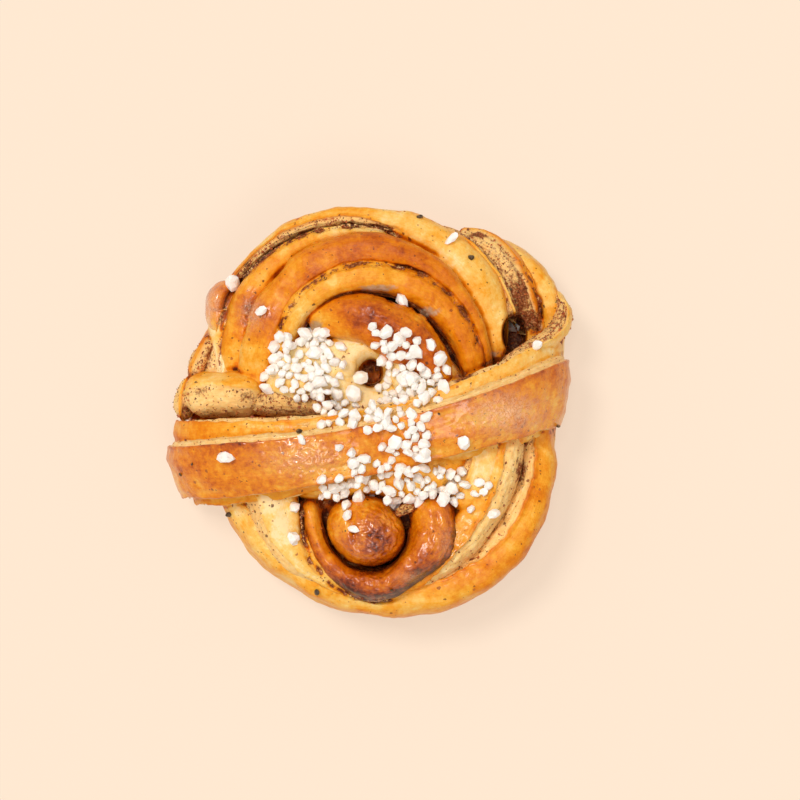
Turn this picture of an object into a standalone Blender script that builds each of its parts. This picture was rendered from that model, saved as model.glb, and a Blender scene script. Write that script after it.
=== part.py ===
"""A knotted cinnamon bun: turns of dough wound round and a two-layer strap tied over them.

Sizes are in millimetres and become metres where the meshes are made. The origin is the
bottom centre, X runs along the strap to the right, Y to the far side and Z up.
The dough is one solid with the larger sugar grains fused on. The cinnamon filling shows
between the turns and in the strap's sides as ribbons of its own, each in a slot.
"""
import math

import bmesh
import bpy
import numpy as np
from mathutils import Vector
from mathutils.bvhtree import BVHTree

# Driving sizes
MILLIMETRE = 0.001
GAP = 0.3
SLOT_PAST_END = 1.2
SLOT_RISE = 8.0
SECTION_POWER = 2.25
STRAP_POWER = 2.7
RIBBON_POWER = 5.0
END_ROUNDING = 0.10
FLOOR_CUT = 20.0
TURN_TRIANGLES = 7200

# The core under the turns: an ellipsoid
CORE_RADIUS = 46.0
CORE_HEIGHT = 20.0
CORE_MIDDLE = 10.0

# The foot: a closed turn that the bun stands on, one radius for every 45 degrees from +X
FOOT = {
    "radius": (42.0, 47.0, 43.5, 40.5, 41.0, 36.5, 43.0, 45.0),
    "half_width": 9.0,
    "half_height": 9.5,
    "middle": 8.5,
}

# Turns of dough. Angles in degrees about the centre, anticlockwise from +X. Each tuple
# runs evenly along the turn and a smooth curve passes through its values.
# crest is the height of the turn's top, lean is how far its outer side is turned down.
TURNS = {
    "outer_top": {
        "angles": (21.0, 141.0),
        "radius": (37.0, 44.6, 48.6, 50.4, 50.8, 49.2),
        "half_width": (4.0, 6.4, 6.8, 6.0, 5.4, 3.6),
        "crest": (27.0, 31.0, 32.0, 31.0, 29.5, 25.0),
        "half_height": (9.0, 11.5, 12.0, 12.0, 12.0, 9.0),
        "lean": (-8.0, -6.0, -12.0, -22.0, -28.0, -25.0),
    },
    "outer_layer_right": {
        "angles": (19.0, 80.0),
        "radius": (46.8, 50.2, 52.8, 53.8, 50.5),
        "half_width": (2.2, 2.6, 2.8, 2.4, 2.0),
        "crest": (24.0, 26.0, 27.0, 25.5, 20.0),
        "half_height": (8.0, 10.0, 10.0, 9.0, 6.0),
        "lean": (0.0, -4.0, -8.0),
    },
    "speckled_right": {
        "angles": (10.0, 78.0),
        "radius": (45.0, 51.6, 54.6, 55.0, 50.0),
        "half_width": (3.6, 4.8, 4.8, 4.2, 3.0),
        "crest": (19.0, 21.5, 23.5, 22.5, 17.0),
        "half_height": (6.0, 8.0, 9.0, 8.5, 6.0),
        "lean": (0.0, 6.0, 0.0),
    },
    "smooth_right": {
        "angles": (4.0, 70.0),
        "radius": (45.0, 52.8, 57.6, 56.6, 50.0),
        "half_width": (3.0, 3.9, 4.2, 3.8, 3.0),
        "crest": (14.0, 18.0, 19.5, 18.0, 13.0),
        "half_height": (5.0, 7.0, 7.5, 7.0, 5.0),
        "lean": (0.0, 4.0, 0.0),
    },
    "left_end": {
        "angles": (118.0, 182.0),
        "radius": (44.0, 46.6, 48.8, 45.5, 41.5, 40.0),
        "half_width": (3.8, 4.6, 5.0, 5.4, 5.6, 5.0),
        "crest": (18.0, 23.0, 27.0, 27.0, 26.5, 24.0),
        "half_height": (7.0, 8.5, 10.5, 10.5, 10.0, 9.0),
        "lean": (-14.0, -6.0, 0.0),
    },
    "second_top": {
        "angles": (84.0, 172.0),
        "radius": (47.4, 48.0, 47.4, 45.2, 41.6, 38.0, 37.0),
        "half_width": (2.6, 3.4, 3.8, 4.4, 4.8, 4.4, 3.6),
        "crest": (32.5, 34.5, 34.5, 34.0, 31.5, 28.0, 25.0),
        "half_height": (9.0, 10.0, 10.0, 10.0, 9.0, 8.0, 7.0),
        "lean": (-10.0, -16.0, -10.0),
    },
    "third_top": {
        "angles": (18.0, 176.0),
        "radius": (33.5, 38.0, 42.4, 43.2, 40.6, 35.2, 31.2, 30.4),
        "half_width": (3.2, 4.2, 5.4, 6.2, 6.1, 6.1, 6.0, 5.0),
        "crest": (30.0, 35.5, 39.4, 40.6, 40.4, 39.0, 35.0, 30.0),
        "half_height": (8.0, 10.5, 11.8, 12.0, 12.0, 11.8, 10.0, 8.0),
        "lean": (-8.0, -8.0, -10.0, -12.0, -8.0),
    },
    "inner_arc": {
        "angles": (17.0, 148.0),
        "radius": (29.6, 33.4, 36.0, 36.2, 34.0, 28.6),
        "half_width": (3.4, 3.6, 3.6, 3.5, 3.6, 3.2),
        "crest": (32.0, 38.5, 42.0, 43.0, 41.5, 37.0),
        "half_height": (8.0, 9.0, 9.5, 9.5, 9.0, 8.0),
        "lean": (0.0, -6.0, 0.0),
    },
    "middle_dome": {
        "angles": (20.0, 124.0),
        "radius": (24.6, 24.2, 24.8, 27.4, 29.8),
        "half_width": (3.4, 6.6, 8.6, 6.8, 3.4),
        "crest": (38.0, 44.0, 46.5, 44.5, 38.0),
        "half_height": (7.0, 8.5, 9.5, 8.5, 6.0),
        "lean": (6.0, 10.0, 0.0),
    },
    "heel_left": {
        "angles": (112.0, 172.0),
        "radius": (13.5, 17.6, 21.0, 23.0),
        "half_width": (6.0, 8.6, 9.0, 6.0),
        "crest": (37.0, 39.0, 38.5, 35.5),
        "half_height": (7.0, 8.5, 8.5, 7.0),
        "lean": (10.0, 0.0),
    },
    "heel_right": {
        "angles": (4.0, 62.0),
        "radius": (21.5, 17.2, 13.6),
        "half_width": (7.0, 8.6, 6.4),
        "crest": (37.0, 40.0, 41.0),
        "half_height": (7.0, 8.5, 8.0),
        "lean": (10.0, 0.0),
    },
    "shelf_under_strap": {
        "angles": (-140.0, -22.0),
        "radius": (27.5, 21.5, 17.6, 17.4, 21.0, 24.0, 26.0),
        "half_width": (4.6, 5.2, 5.4, 5.6, 5.8, 5.4, 4.6),
        "crest": (34.5, 37.0, 37.8, 38.2, 39.0, 38.8, 36.5),
        "half_height": (7.0, 8.5, 9.0, 9.0, 9.0, 8.5, 7.0),
        "lean": (0.0, 8.0, 0.0),
    },
    "lower_rim": {
        "angles": (-168.0, 10.0),
        "radius": (41.0, 43.6, 46.6, 49.2, 51.6, 52.0, 49.8, 45.8, 42.0),
        "half_width": (3.8, 4.4, 4.6, 4.8, 5.6, 6.4, 6.2, 5.4, 4.4),
        "crest": (19.0, 24.5, 26.5, 27.4, 28.4, 29.4, 29.4, 27.0, 22.0),
        "half_height": (7.0, 9.0, 9.5, 9.5, 10.2, 11.0, 10.8, 10.0, 8.0),
        "lean": (0.0, 8.0, 4.0, -6.0, -6.0),
    },
    "lower_second": {
        "angles": (-164.0, 4.0),
        "radius": (31.0, 34.6, 42.6, 47.6, 47.6, 43.8, 39.4, 36.4, 34.5),
        "half_width": (6.0, 7.2, 5.6, 4.4, 4.3, 5.1, 5.6, 5.6, 4.6),
        "crest": (31.0, 34.5, 33.2, 30.0, 31.4, 34.8, 36.6, 36.4, 33.0),
        "half_height": (8.0, 9.5, 10.0, 9.5, 10.0, 11.0, 11.0, 10.0, 8.0),
        "lean": (16.0, 18.0, 6.0, 6.0, 4.0),
    },
    "wedge": {
        "angles": (-48.0, -2.0),
        "radius": (33.0, 33.5, 32.0, 30.0),
        "half_width": (4.0, 5.8, 5.2, 4.6),
        "crest": (35.5, 37.2, 37.2, 34.0),
        "half_height": (6.0, 7.5, 7.5, 6.0),
        "lean": (-6.0, 0.0),
    },
}

# The low ring of dough round the hole in the middle
HOLE_RING = {
    "centre": (0.4, 10.6),
    "radius": 9.0,
    "half_width": 5.8,
    "half_height": 6.5,
    "middle": 31.2,
    "tilt": 1.2,
}

# The ball of dough in the near half and the turn curled round it, about the ball's centre
BALL = {
    "centre": (-1.2, -32.2),
    "radius": (8.8, 9.2, 11.0),
    "shift": 1.6,
    "middle": 31.0,
    "curl": 1.0,
}
BALL_CRESCENT = {
    "angles": (92.0, 288.0),
    "radius": (7.6, 7.2, 7.0, 7.2, 7.6),
    "half_width": (2.2, 3.2, 3.6, 3.2, 2.2),
    "crest": (38.0, 40.0, 40.5, 39.5, 37.5),
    "half_height": (6.0, 7.5, 8.0, 7.5, 6.0),
    "lean": (10.0,),
}
CURLED_TURN = {
    "angles": (146.0, 392.0),
    "radius": (18.0, 14.4, 13.4, 14.6, 17.0, 19.4, 20.6, 20.0),
    "half_width": (3.0, 3.2, 3.4, 3.8, 4.4, 5.4, 6.0, 5.0),
    "crest": (34.0, 34.0, 33.5, 34.0, 36.0, 38.5, 39.5, 38.0),
    "half_height": (7.0, 8.0, 8.5, 9.0, 9.5, 9.5, 9.0, 7.5),
    "lean": (0.0, 6.0, 10.0, 6.0, 0.0),
}
BALL_BRIDGE = {"from": (6.0, -29.0, 33.0), "to": (13.5, -25.0, 35.0), "half": 3.0}

# The short turn beside the strap's left half: straight, so it has ends and not angles
BESIDE_STRAP = {
    "x": (-50.5, -41.0, -29.0, -18.0, -9.0),
    "y": (2.0, 5.2, 4.8, 3.4, 2.2),
    "crest": (21.0, 31.5, 35.5, 37.0, 37.5),
    "half_width": (5.0, 6.4, 5.6, 4.2, 3.2),
    "half_height": (8.0, 10.0, 9.0, 8.0, 7.0),
    "rounding": 0.2,
    "lean": (4.0, 10.0, 6.0),
}

# The strap: a loop in the XZ plane, flat at its top, its ends tucked under the bun
# path_y gives the strap's Y from X: its value at the middle, its slope and its bend.
STRAP = {
    "angles": (-66.0, 246.0),
    "half_length": 50.6,
    "loop_middle": 16.5,
    "top_rise": 26.6,
    "bottom_drop": 16.2,
    "loop_power": 2.7,
    "path_y": (-9.6, 0.209, 0.00173),
    "layer_step": 5.2,
    "roll": (2.0, 6.0, 14.0, 20.0, 24.0, 12.0, 2.0),
}
UPPER_LAYER = {
    "step": 0.0,
    "shift": (0.0,),
    "half_width": (6.0, 8.8, 10.2, 9.0, 7.9, 8.9, 8.2, 7.6, 5.5),
    "half_height": (2.6, 3.1, 3.6, 3.9, 3.6, 3.9, 3.8, 3.2, 2.6),
}
LOWER_LAYER = {
    "step": 1.0,
    "shift": (0.0, 1.0, 3.4, 2.0, 2.2, 3.4, 5.0, 2.4, 0.0),
    "half_width": (5.6, 8.4, 10.2, 9.8, 9.2, 10.0, 9.6, 8.0, 5.2),
    "half_height": (2.4, 3.0, 3.6, 3.8, 3.8, 3.8, 3.6, 3.0, 2.4),
}
# Bulges along the strap's top as (x, half length, height)
STRAP_BULGES = ((-17.0, 11.0, 1.7), (27.0, 12.0, 1.9), (4.0, 4.5, -1.6))

# The cinnamon filling: upright ribbons that stand in slots between the turns
RIBBON_HALF_THICKNESS = 0.7
UPRIGHT_RIBBONS = {
    "outer_filling": {
        "angles": (66.0, 134.0),
        "radius": (46.4, 48.6, 49.4, 49.2, 47.8),
        "top": (30.6, 31.8, 32.2, 31.4, 28.6),
        "half_height": 5.0,
    },
    "inner_filling": {
        "angles": (30.0, 146.0),
        "radius": (34.0, 37.6, 39.2, 39.0, 36.0, 30.4),
        "top": (32.0, 37.4, 40.0, 40.4, 39.2, 36.0),
        "half_height": 5.5,
    },
    "right_filling": {
        "angles": (26.0, 47.0),
        "radius": (51.4, 54.8, 56.4, 57.0),
        "top": (15.8, 18.8, 19.6, 18.4),
        "half_height": 3.6,
    },
}
CURLED_RIBBON = {
    "angles": (158.0, 292.0),
    "radius": (18.0, 16.9, 16.6, 17.2, 18.4, 20.2),
    "top": (32.4, 31.6, 29.8, 28.2, 28.6, 30.0),
    "half_height": 3.4,
}
STRAP_RIBBON = {"angles": (-12.0, 192.0), "step": 0.5, "past_edge": 0.2, "half_thickness": 0.65}

# Sugar grains: patches as (x, y, half length, half width, grains)
SUGAR_SEED = 11
GRAIN_RADIUS = (1.4, 2.0)
GRAIN_SINK = 0.42
GRAIN_CLEARANCE = 0.35
GRAIN_SPACING = 1.12
SUGAR_PATCHES = (
    (-14.0, 11.6, 11.5, 8.6, 14),
    (11.0, 10.2, 9.5, 11.0, 12),
    (2.0, -5.0, 12.5, 8.0, 6),
    (8.5, -21.5, 21.0, 4.6, 11),
)
SINGLE_GRAINS = (
    (9.2, 30.4),
    (40.2, 23.1),
    (44.6, 17.4),
    (-38.1, 34.0),
    (-20.7, -34.3),
    (-27.0, 5.6),
    (-38.1, -12.2),
    (25.0, -7.6),
)

# Colours, red green blue from 0 to 1
DOUGH_COLOUR = (0.72, 0.36, 0.10)
FILLING_COLOUR = (0.13, 0.05, 0.02)


def along(values, t):
    """A smooth curve through evenly spaced values, read at t from 0 to 1."""
    values = np.atleast_1d(np.asarray(values, float))
    if len(values) == 1:
        return np.full_like(t, values[0])
    if len(values) == 2:
        return values[0] + (values[1] - values[0]) * t
    first = 2 * values[0] - values[1]
    last = 2 * values[-1] - values[-2]
    padded = np.concatenate([[first], values, [last]])
    place = t * (len(values) - 1)
    step = np.clip(np.floor(place).astype(int), 0, len(values) - 2)
    f = place - step
    before, here, after, beyond = (padded[step + k] for k in range(4))
    slope = (after - before) * f
    bend = (2 * before - 5 * here + 4 * after - beyond) * f**2
    twist = (3 * here - before - 3 * after + beyond) * f**3
    return 0.5 * (2 * here + slope + bend + twist)


def unit(vectors):
    return vectors / np.linalg.norm(vectors, axis=-1, keepdims=True)


def section(sides, power):
    """Places round a closed section whose flats grow with the power: 2 gives an ellipse."""
    angle = (np.arange(sides) + 0.5) / sides * 2 * math.pi
    across = np.sign(np.cos(angle)) * np.abs(np.cos(angle)) ** (2 / power)
    upward = np.sign(np.sin(angle)) * np.abs(np.sin(angle)) ** (2 / power)
    return across, upward


def stations(count, rounding):
    """Places along a strand from 0 to 1, closer together in its rounded ends, and the taper."""
    t = np.linspace(0, 1, count)
    end = np.minimum(t, 1 - t)
    inside = np.clip(1 - end / rounding, 0, 1)
    near = rounding * (1 - np.sin(inside * math.pi / 2))
    t = np.where(inside > 0, np.where(t < 0.5, near, 1 - near), t)
    taper = np.cos(inside * math.pi / 2)
    return t, taper


def new_object(name, points, faces, collection):
    """A mesh object from points in millimetres, with outward faces."""
    mesh = bpy.data.meshes.new(name)
    mesh.from_pydata((points * MILLIMETRE).tolist(), [], faces)
    mesh.validate()
    work = bmesh.new()
    work.from_mesh(mesh)
    bmesh.ops.recalc_face_normals(work, faces=work.faces)
    work.to_mesh(mesh)
    work.free()
    obj = bpy.data.objects.new(name, mesh)
    collection.objects.link(obj)
    return obj


def loft(name, rings, collection, closed=False):
    """Skins rings of points that change in width and height along a path, which no bevelled
    curve makes. An open strand's first and last rings have shrunk to a point.
    """
    count, sides = rings.shape[:2]
    faces = []
    if closed:
        points = rings.reshape(-1, 3)
        rows = [(i, (i + 1) % count) for i in range(count)]
        offset = 0
    else:
        points = np.concatenate([rings[:1, 0], rings[1:-1].reshape(-1, 3), rings[-1:, 0]])
        rows = [(i, i + 1) for i in range(count - 3)]
        offset = 1
        last = len(points) - 1
        for j in range(sides):
            k = (j + 1) % sides
            faces.append((0, offset + k, offset + j))
            faces.append((last, last - sides + j, last - sides + k))
    for here, after in rows:
        for j in range(sides):
            k = (j + 1) % sides
            faces.append(
                (
                    offset + here * sides + j,
                    offset + here * sides + k,
                    offset + after * sides + k,
                    offset + after * sides + j,
                )
            )
    return new_object(name, points, faces, collection)


def strand_rings(path, lift, half_width, half_height, lean, sides, power):
    """Sections set square to a path. Across is the path's outer side, lean turns it up."""
    ahead = unit(np.gradient(path, axis=0))
    across = unit(np.cross(ahead, lift))
    upward = unit(np.cross(across, ahead))
    turned = np.radians(lean)[:, None]
    side_way = np.cos(turned) * across + np.sin(turned) * upward
    top_way = np.cos(turned) * upward - np.sin(turned) * across
    a, b = section(sides, power)
    return (
        path[:, None]
        + (half_width[:, None] * a)[..., None] * side_way[:, None]
        + (half_height[:, None] * b)[..., None] * top_way[:, None]
    )


def turn_rings(turn, count, sides, centre=(0.0, 0.0), power=SECTION_POWER):
    """The rings of one turn, wound about a centre."""
    t, taper = stations(count, END_ROUNDING)
    start, end = np.radians(turn["angles"])
    angle = start + (end - start) * t
    radius = along(turn["radius"], t)
    half_height = along(turn["half_height"], t)
    middle = along(turn["crest"], t) - half_height
    path = np.stack(
        [centre[0] + radius * np.cos(angle), centre[1] + radius * np.sin(angle), middle], axis=1
    )
    lift = np.tile([0.0, 0.0, 1.0], (count, 1))
    half_width = along(turn["half_width"], t) * taper
    lean = along(turn["lean"], t)
    return strand_rings(path, lift, half_width, half_height * taper, lean, sides, power)


def make_core(pieces):
    bpy.ops.mesh.primitive_uv_sphere_add(segments=24, ring_count=10, radius=1.0)
    core = bpy.context.object
    core.name = "dough"
    size = Vector((CORE_RADIUS, CORE_RADIUS, CORE_HEIGHT)) * MILLIMETRE
    for vertex in core.data.vertices:
        for axis in range(3):
            vertex.co[axis] *= size[axis]
        vertex.co.z += CORE_MIDDLE * MILLIMETRE
    for holder in list(core.users_collection):
        holder.objects.unlink(core)
    pieces.objects.link(core)
    return core


def make_foot(collection):
    """The closed turn under the others."""
    count = 36
    angle = np.arange(count) / count * 2 * math.pi
    radii = np.asarray(FOOT["radius"])
    wrapped = np.concatenate([radii[-2:], radii, radii[:3]])
    first = 2 / (len(wrapped) - 1)
    share = len(radii) / (len(wrapped) - 1)
    radius = along(wrapped, first + share * angle / (2 * math.pi))
    path = np.stack(
        [radius * np.cos(angle), radius * np.sin(angle), np.full(count, FOOT["middle"])], axis=1
    )
    across = np.stack([np.cos(angle), np.sin(angle), np.zeros(count)], axis=1)
    a, b = section(10, SECTION_POWER)
    rings = path[:, None] + FOOT["half_width"] * a[None, :, None] * across[:, None]
    rings[..., 2] += FOOT["half_height"] * b
    return loft("foot", rings, collection, closed=True)


def make_hole_ring(collection):
    """The low ring round the hole, a little higher on its far side."""
    count = 16
    angle = np.arange(count) / count * 2 * math.pi
    x, y = HOLE_RING["centre"]
    way = np.stack([np.cos(angle), np.sin(angle), np.zeros(count)], axis=1)
    path = way * HOLE_RING["radius"] + np.array([x, y, HOLE_RING["middle"]])
    path[:, 2] += HOLE_RING["tilt"] * np.sin(angle)
    a, b = section(8, 2.0)
    rings = path[:, None] + HOLE_RING["half_width"] * a[None, :, None] * way[:, None]
    rings[..., 2] += HOLE_RING["half_height"] * b
    loft("hole_ring", rings, collection, closed=True)


def make_turns(collection):
    for name, turn in TURNS.items():
        start, end = turn["angles"]
        length = math.radians(end - start) * np.mean(turn["radius"])
        loft(name, turn_rings(turn, 6 + round(length / 6.5), 10), collection)


def make_ball(collection):
    """The ball: a short fat strand coiled on itself, so a fold runs over its top."""
    x, y = BALL["centre"]
    x += BALL["shift"]
    long_radius, wide_radius, tall_radius = BALL["radius"]
    count = 11
    t, taper = stations(count, 0.5)
    path = np.stack(
        [
            x + (2 * t - 1) * long_radius,
            np.full(count, y),
            np.full(count, BALL["middle"]),
        ],
        axis=1,
    )
    path[:, 1] += BALL["curl"] * np.sin(2 * math.pi * t)
    lift = np.tile([0.0, 0.0, 1.0], (count, 1))
    lean = np.zeros(count)
    rings = strand_rings(path, lift, wide_radius * taper, tall_radius * taper, lean, 16, 2.1)
    loft("ball", rings, collection)
    loft("ball_crescent", turn_rings(BALL_CRESCENT, 12, 8, BALL["centre"]), collection)
    loft("curled_turn", turn_rings(CURLED_TURN, 30, 12, BALL["centre"]), collection)
    start = np.array(BALL_BRIDGE["from"])
    end = np.array(BALL_BRIDGE["to"])
    t, taper = stations(9, 0.4)
    path = start + (end - start) * t[:, None]
    half = BALL_BRIDGE["half"] * taper
    lift = np.tile([0.0, 0.0, 1.0], (9, 1))
    loft("ball_bridge", strand_rings(path, lift, half, half, t * 0, 8, 2.0), collection)


def make_beside_strap(collection):
    count = 16
    t, taper = stations(count, BESIDE_STRAP["rounding"])
    t = 1 - t
    half_height = along(BESIDE_STRAP["half_height"], t)
    middle = along(BESIDE_STRAP["crest"], t) - half_height
    path = np.stack([along(BESIDE_STRAP["x"], t), along(BESIDE_STRAP["y"], t), middle], axis=1)
    lift = np.tile([0.0, 0.0, 1.0], (count, 1))
    half_width = along(BESIDE_STRAP["half_width"], t) * taper
    lean = along(BESIDE_STRAP["lean"], t)
    rings = strand_rings(path, lift, half_width, half_height * taper, lean, 12, SECTION_POWER)
    loft("beside_strap", rings, collection)


def strap_frame(t, step):
    """Places and outward directions along the strap's loop, step layers in from the top one."""
    start, end = np.radians(STRAP["angles"])
    angle = start + (end - start) * t
    inward = step * STRAP["layer_step"]
    across = np.sign(np.cos(angle)) * np.abs(np.cos(angle)) ** (2 / STRAP["loop_power"])
    upward = np.sign(np.sin(angle)) * np.abs(np.sin(angle)) ** (2 / STRAP["loop_power"])
    x = (STRAP["half_length"] - inward) * across
    rise = np.where(upward > 0, STRAP["top_rise"] - inward, STRAP["bottom_drop"] - inward)
    z = STRAP["loop_middle"] + rise * upward
    for place, spread, height in STRAP_BULGES:
        z = z + height * np.exp(-(((x - place) / spread) ** 2)) * (upward > 0)
    base, slope, bend = STRAP["path_y"]
    y = base + slope * x + bend * x**2
    path = np.stack([x, y, z], axis=1)
    outward = unit(np.stack([across * 0.6, np.zeros_like(x), upward], axis=1))
    return path, outward


def strap_rings(t, taper, layer, half_width, half_height, sides, power):
    path, outward = strap_frame(t, layer["step"])
    lean = along(STRAP["roll"], t)
    ahead = unit(np.gradient(path, axis=0))
    across = unit(np.cross(ahead, outward))
    path = path + across * along(layer["shift"], t)[:, None]
    return strand_rings(
        path, outward, half_width * taper, half_height * taper, lean, sides, power
    )


def make_strap(collection):
    """The strap's two layers of dough."""
    for name, layer in (("strap_upper", UPPER_LAYER), ("strap_lower", LOWER_LAYER)):
        t, taper = stations(42, 0.06)
        half_width = along(layer["half_width"], t)
        half_height = along(layer["half_height"], t)
        rings = strap_rings(t, taper, layer, half_width, half_height, 12, STRAP_POWER)
        loft(name, rings, collection)


def make_upright_ribbon(name, ribbon, centre, grow, collection):
    """A ribbon of filling stood on edge along a turn. Grown by the gap, it is its own slot."""
    start, end = ribbon["angles"]
    mean = float(np.mean(ribbon["radius"]))
    spare = math.degrees(SLOT_PAST_END / mean) if grow else 0.0
    share = spare / (end - start)
    count = 4 + round(math.radians(end - start) * mean / 4.5)
    t, taper = stations(count, 0.04)
    t = t * (1 + 2 * share) - share
    angle = np.radians(start + (end - start) * t)
    radius = along(ribbon["radius"], t)
    middle = along(ribbon["top"], t) - ribbon["half_height"]
    path = np.stack(
        [centre[0] + radius * np.cos(angle), centre[1] + radius * np.sin(angle), middle], axis=1
    )
    lift = np.tile([0.0, 0.0, 1.0], (count, 1))
    full = taper > 0
    thickness = (RIBBON_HALF_THICKNESS * taper + grow) * full
    height = (ribbon["half_height"] + grow) * taper
    rings = strand_rings(path, lift, thickness, height, t * 0, 8, RIBBON_POWER)
    if grow:
        upper_half = (rings[..., 2] > middle[:, None]) & full[:, None]
        rings[..., 2] += SLOT_RISE * upper_half
    return loft(name, rings, collection)


def make_strap_ribbon(name, grow, collection):
    """The filling between the strap's layers, out to both sides."""
    whole_start, whole_end = STRAP["angles"]
    start, end = STRAP_RIBBON["angles"]
    spare = math.degrees(SLOT_PAST_END / STRAP["half_length"]) if grow else 0.0
    count = 38
    t, taper = stations(count, 0.03)
    angle = start - spare + (end - start + 2 * spare) * t
    t = (angle - whole_start) / (whole_end - whole_start)
    upper = along(UPPER_LAYER["half_width"], t)
    lower = along(LOWER_LAYER["half_width"], t)
    half_width = (upper + lower) / 2 + STRAP_RIBBON["past_edge"] + grow * 4
    half_height = np.full(count, STRAP_RIBBON["half_thickness"] + grow)
    shift = tuple(np.asarray(LOWER_LAYER["shift"]) / 2)
    layer = {"step": STRAP_RIBBON["step"], "shift": shift}
    rings = strap_rings(t, taper, layer, half_width, half_height, 8, RIBBON_POWER)
    return loft(name, rings, collection)


def make_ribbons(collection, grow, ending=""):
    for name, ribbon in UPRIGHT_RIBBONS.items():
        make_upright_ribbon(name + ending, ribbon, (0.0, 0.0), grow, collection)
    make_upright_ribbon("lower_filling" + ending, CURLED_RIBBON, BALL["centre"], grow, collection)
    make_strap_ribbon("strap_filling" + ending, grow, collection)


def make_floor_block(collection):
    """What is cut away below the plane the bun rests on."""
    bpy.ops.mesh.primitive_cube_add(size=1.0)
    block = bpy.context.object
    block.name = "below_floor"
    width = 4 * CORE_RADIUS * MILLIMETRE
    for vertex in block.data.vertices:
        vertex.co.x *= width
        vertex.co.y *= width
        vertex.co.z = (vertex.co.z - 0.5) * FLOOR_CUT * MILLIMETRE
    for holder in list(block.users_collection):
        holder.objects.unlink(block)
    collection.objects.link(block)


def combine(target, collection, operation, solver):
    """Joins or cuts the target with a collection's objects, which are then removed."""
    boolean = target.modifiers.new("joined", "BOOLEAN")
    boolean.operation = operation
    boolean.operand_type = "COLLECTION"
    boolean.collection = collection
    boolean.solver = solver
    depsgraph = bpy.context.evaluated_depsgraph_get()
    mesh = bpy.data.meshes.new_from_object(target.evaluated_get(depsgraph))
    target.modifiers.clear()
    target.data = mesh
    for obj in list(collection.objects):
        bpy.data.objects.remove(obj)


def thin_out(obj, triangles):
    """Collapses the shortest and flattest edges that the joining left, down to a number."""
    start = sum(len(face.vertices) - 2 for face in obj.data.polygons)
    decimate = obj.modifiers.new("thinned", "DECIMATE")
    decimate.ratio = triangles / start
    depsgraph = bpy.context.evaluated_depsgraph_get()
    mesh = bpy.data.meshes.new_from_object(obj.evaluated_get(depsgraph))
    obj.modifiers.clear()
    obj.data = mesh


def keep_largest_body(obj):
    """Drops loose scraps and the skins of sealed hollows, so one closed body is left."""
    work = bmesh.new()
    work.from_mesh(obj.data)
    bmesh.ops.triangulate(work, faces=work.faces)
    unseen = set(work.faces)
    bodies = []
    while unseen:
        body = {unseen.pop()}
        edge = list(body)
        while edge:
            face = edge.pop()
            for side in face.edges:
                for other in side.link_faces:
                    if other in unseen:
                        unseen.discard(other)
                        body.add(other)
                        edge.append(other)
        bodies.append(body)
    largest = max(bodies, key=len)
    scraps = [face for body in bodies if body is not largest for face in body]
    bmesh.ops.delete(work, geom=scraps, context="FACES")
    loose = [vertex for vertex in work.verts if not vertex.link_faces]
    bmesh.ops.delete(work, geom=loose, context="VERTS")
    work.to_mesh(obj.data)
    work.free()


def surface_tree(obj):
    work = bmesh.new()
    work.from_mesh(obj.data)
    bmesh.ops.triangulate(work, faces=work.faces)
    tree = BVHTree.FromBMesh(work)
    work.free()
    return tree


def grain_places():
    """Seeded places for the grains: spread over each patch, then the single ones."""
    draw = np.random.RandomState(SUGAR_SEED)
    places = []
    for x, y, half_length, half_width, grains in SUGAR_PATCHES:
        tries = draw.uniform(-1, 1, (grains * 40, 2))
        tries = tries[np.hypot(tries[:, 0], tries[:, 1]) < 1]
        kept = 0
        for across, along_y in tries:
            if kept == grains:
                break
            radius = draw.uniform(*GRAIN_RADIUS)
            place = (x + across * half_length, y + along_y * half_width)
            apart = [
                math.dist(place, other[:2]) > GRAIN_SPACING * (radius + other[2]) for other in places
            ]
            if all(apart):
                places.append((*place, radius))
                kept += 1
    for x, y in SINGLE_GRAINS:
        places.append((x, y, draw.uniform(*GRAIN_RADIUS)))
    return places, draw


def make_grains(dough, fillings, collection):
    """Angular grains sunk a little into the dough, clear of the filling."""
    tree = surface_tree(dough)
    filling_trees = [surface_tree(filling) for filling in fillings]
    places, draw = grain_places()
    for number, (x, y, radius) in enumerate(places):
        stretch = draw.uniform(0.78, 1.22, 3)
        turned = draw.uniform(0, 2 * math.pi, 3)
        chips = draw.uniform(0.84, 1.1, 12)
        above = Vector((x, y, 80.0)) * MILLIMETRE
        place, normal, _, _ = tree.ray_cast(above, Vector((0, 0, -1)))
        middle = place + normal * radius * (1 - GRAIN_SINK) * MILLIMETRE
        reach = (radius * 1.25 + GRAIN_CLEARANCE) * MILLIMETRE
        if any(other.find_nearest(middle)[3] < reach for other in filling_trees):
            continue
        work = bmesh.new()
        bmesh.ops.create_icosphere(work, subdivisions=1, radius=radius)
        cosines = np.cos(turned)
        sines = np.sin(turned)
        for vertex, chip in zip(work.verts, chips):
            point = np.array(vertex.co) * stretch * chip
            for axis in range(3):
                first, second = (axis + 1) % 3, (axis + 2) % 3
                a = point[first] * cosines[axis] - point[second] * sines[axis]
                b = point[first] * sines[axis] + point[second] * cosines[axis]
                point[first], point[second] = a, b
            vertex.co = middle + Vector(point) * MILLIMETRE
        mesh = bpy.data.meshes.new(f"grain_{number}")
        work.to_mesh(mesh)
        work.free()
        collection.objects.link(bpy.data.objects.new(mesh.name, mesh))


def plain_material(name, colour, roughness):
    material = bpy.data.materials.new(name)
    material.use_nodes = True
    shader = material.node_tree.nodes["Principled BSDF"]
    shader.inputs["Base Color"].default_value = (*colour, 1.0)
    shader.inputs["Roughness"].default_value = roughness
    return material


def finish(obj, material):
    obj.data.materials.clear()
    obj.data.materials.append(material)
    obj.data.shade_smooth()
    obj.data.set_sharp_from_angle(angle=math.radians(50))


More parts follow.
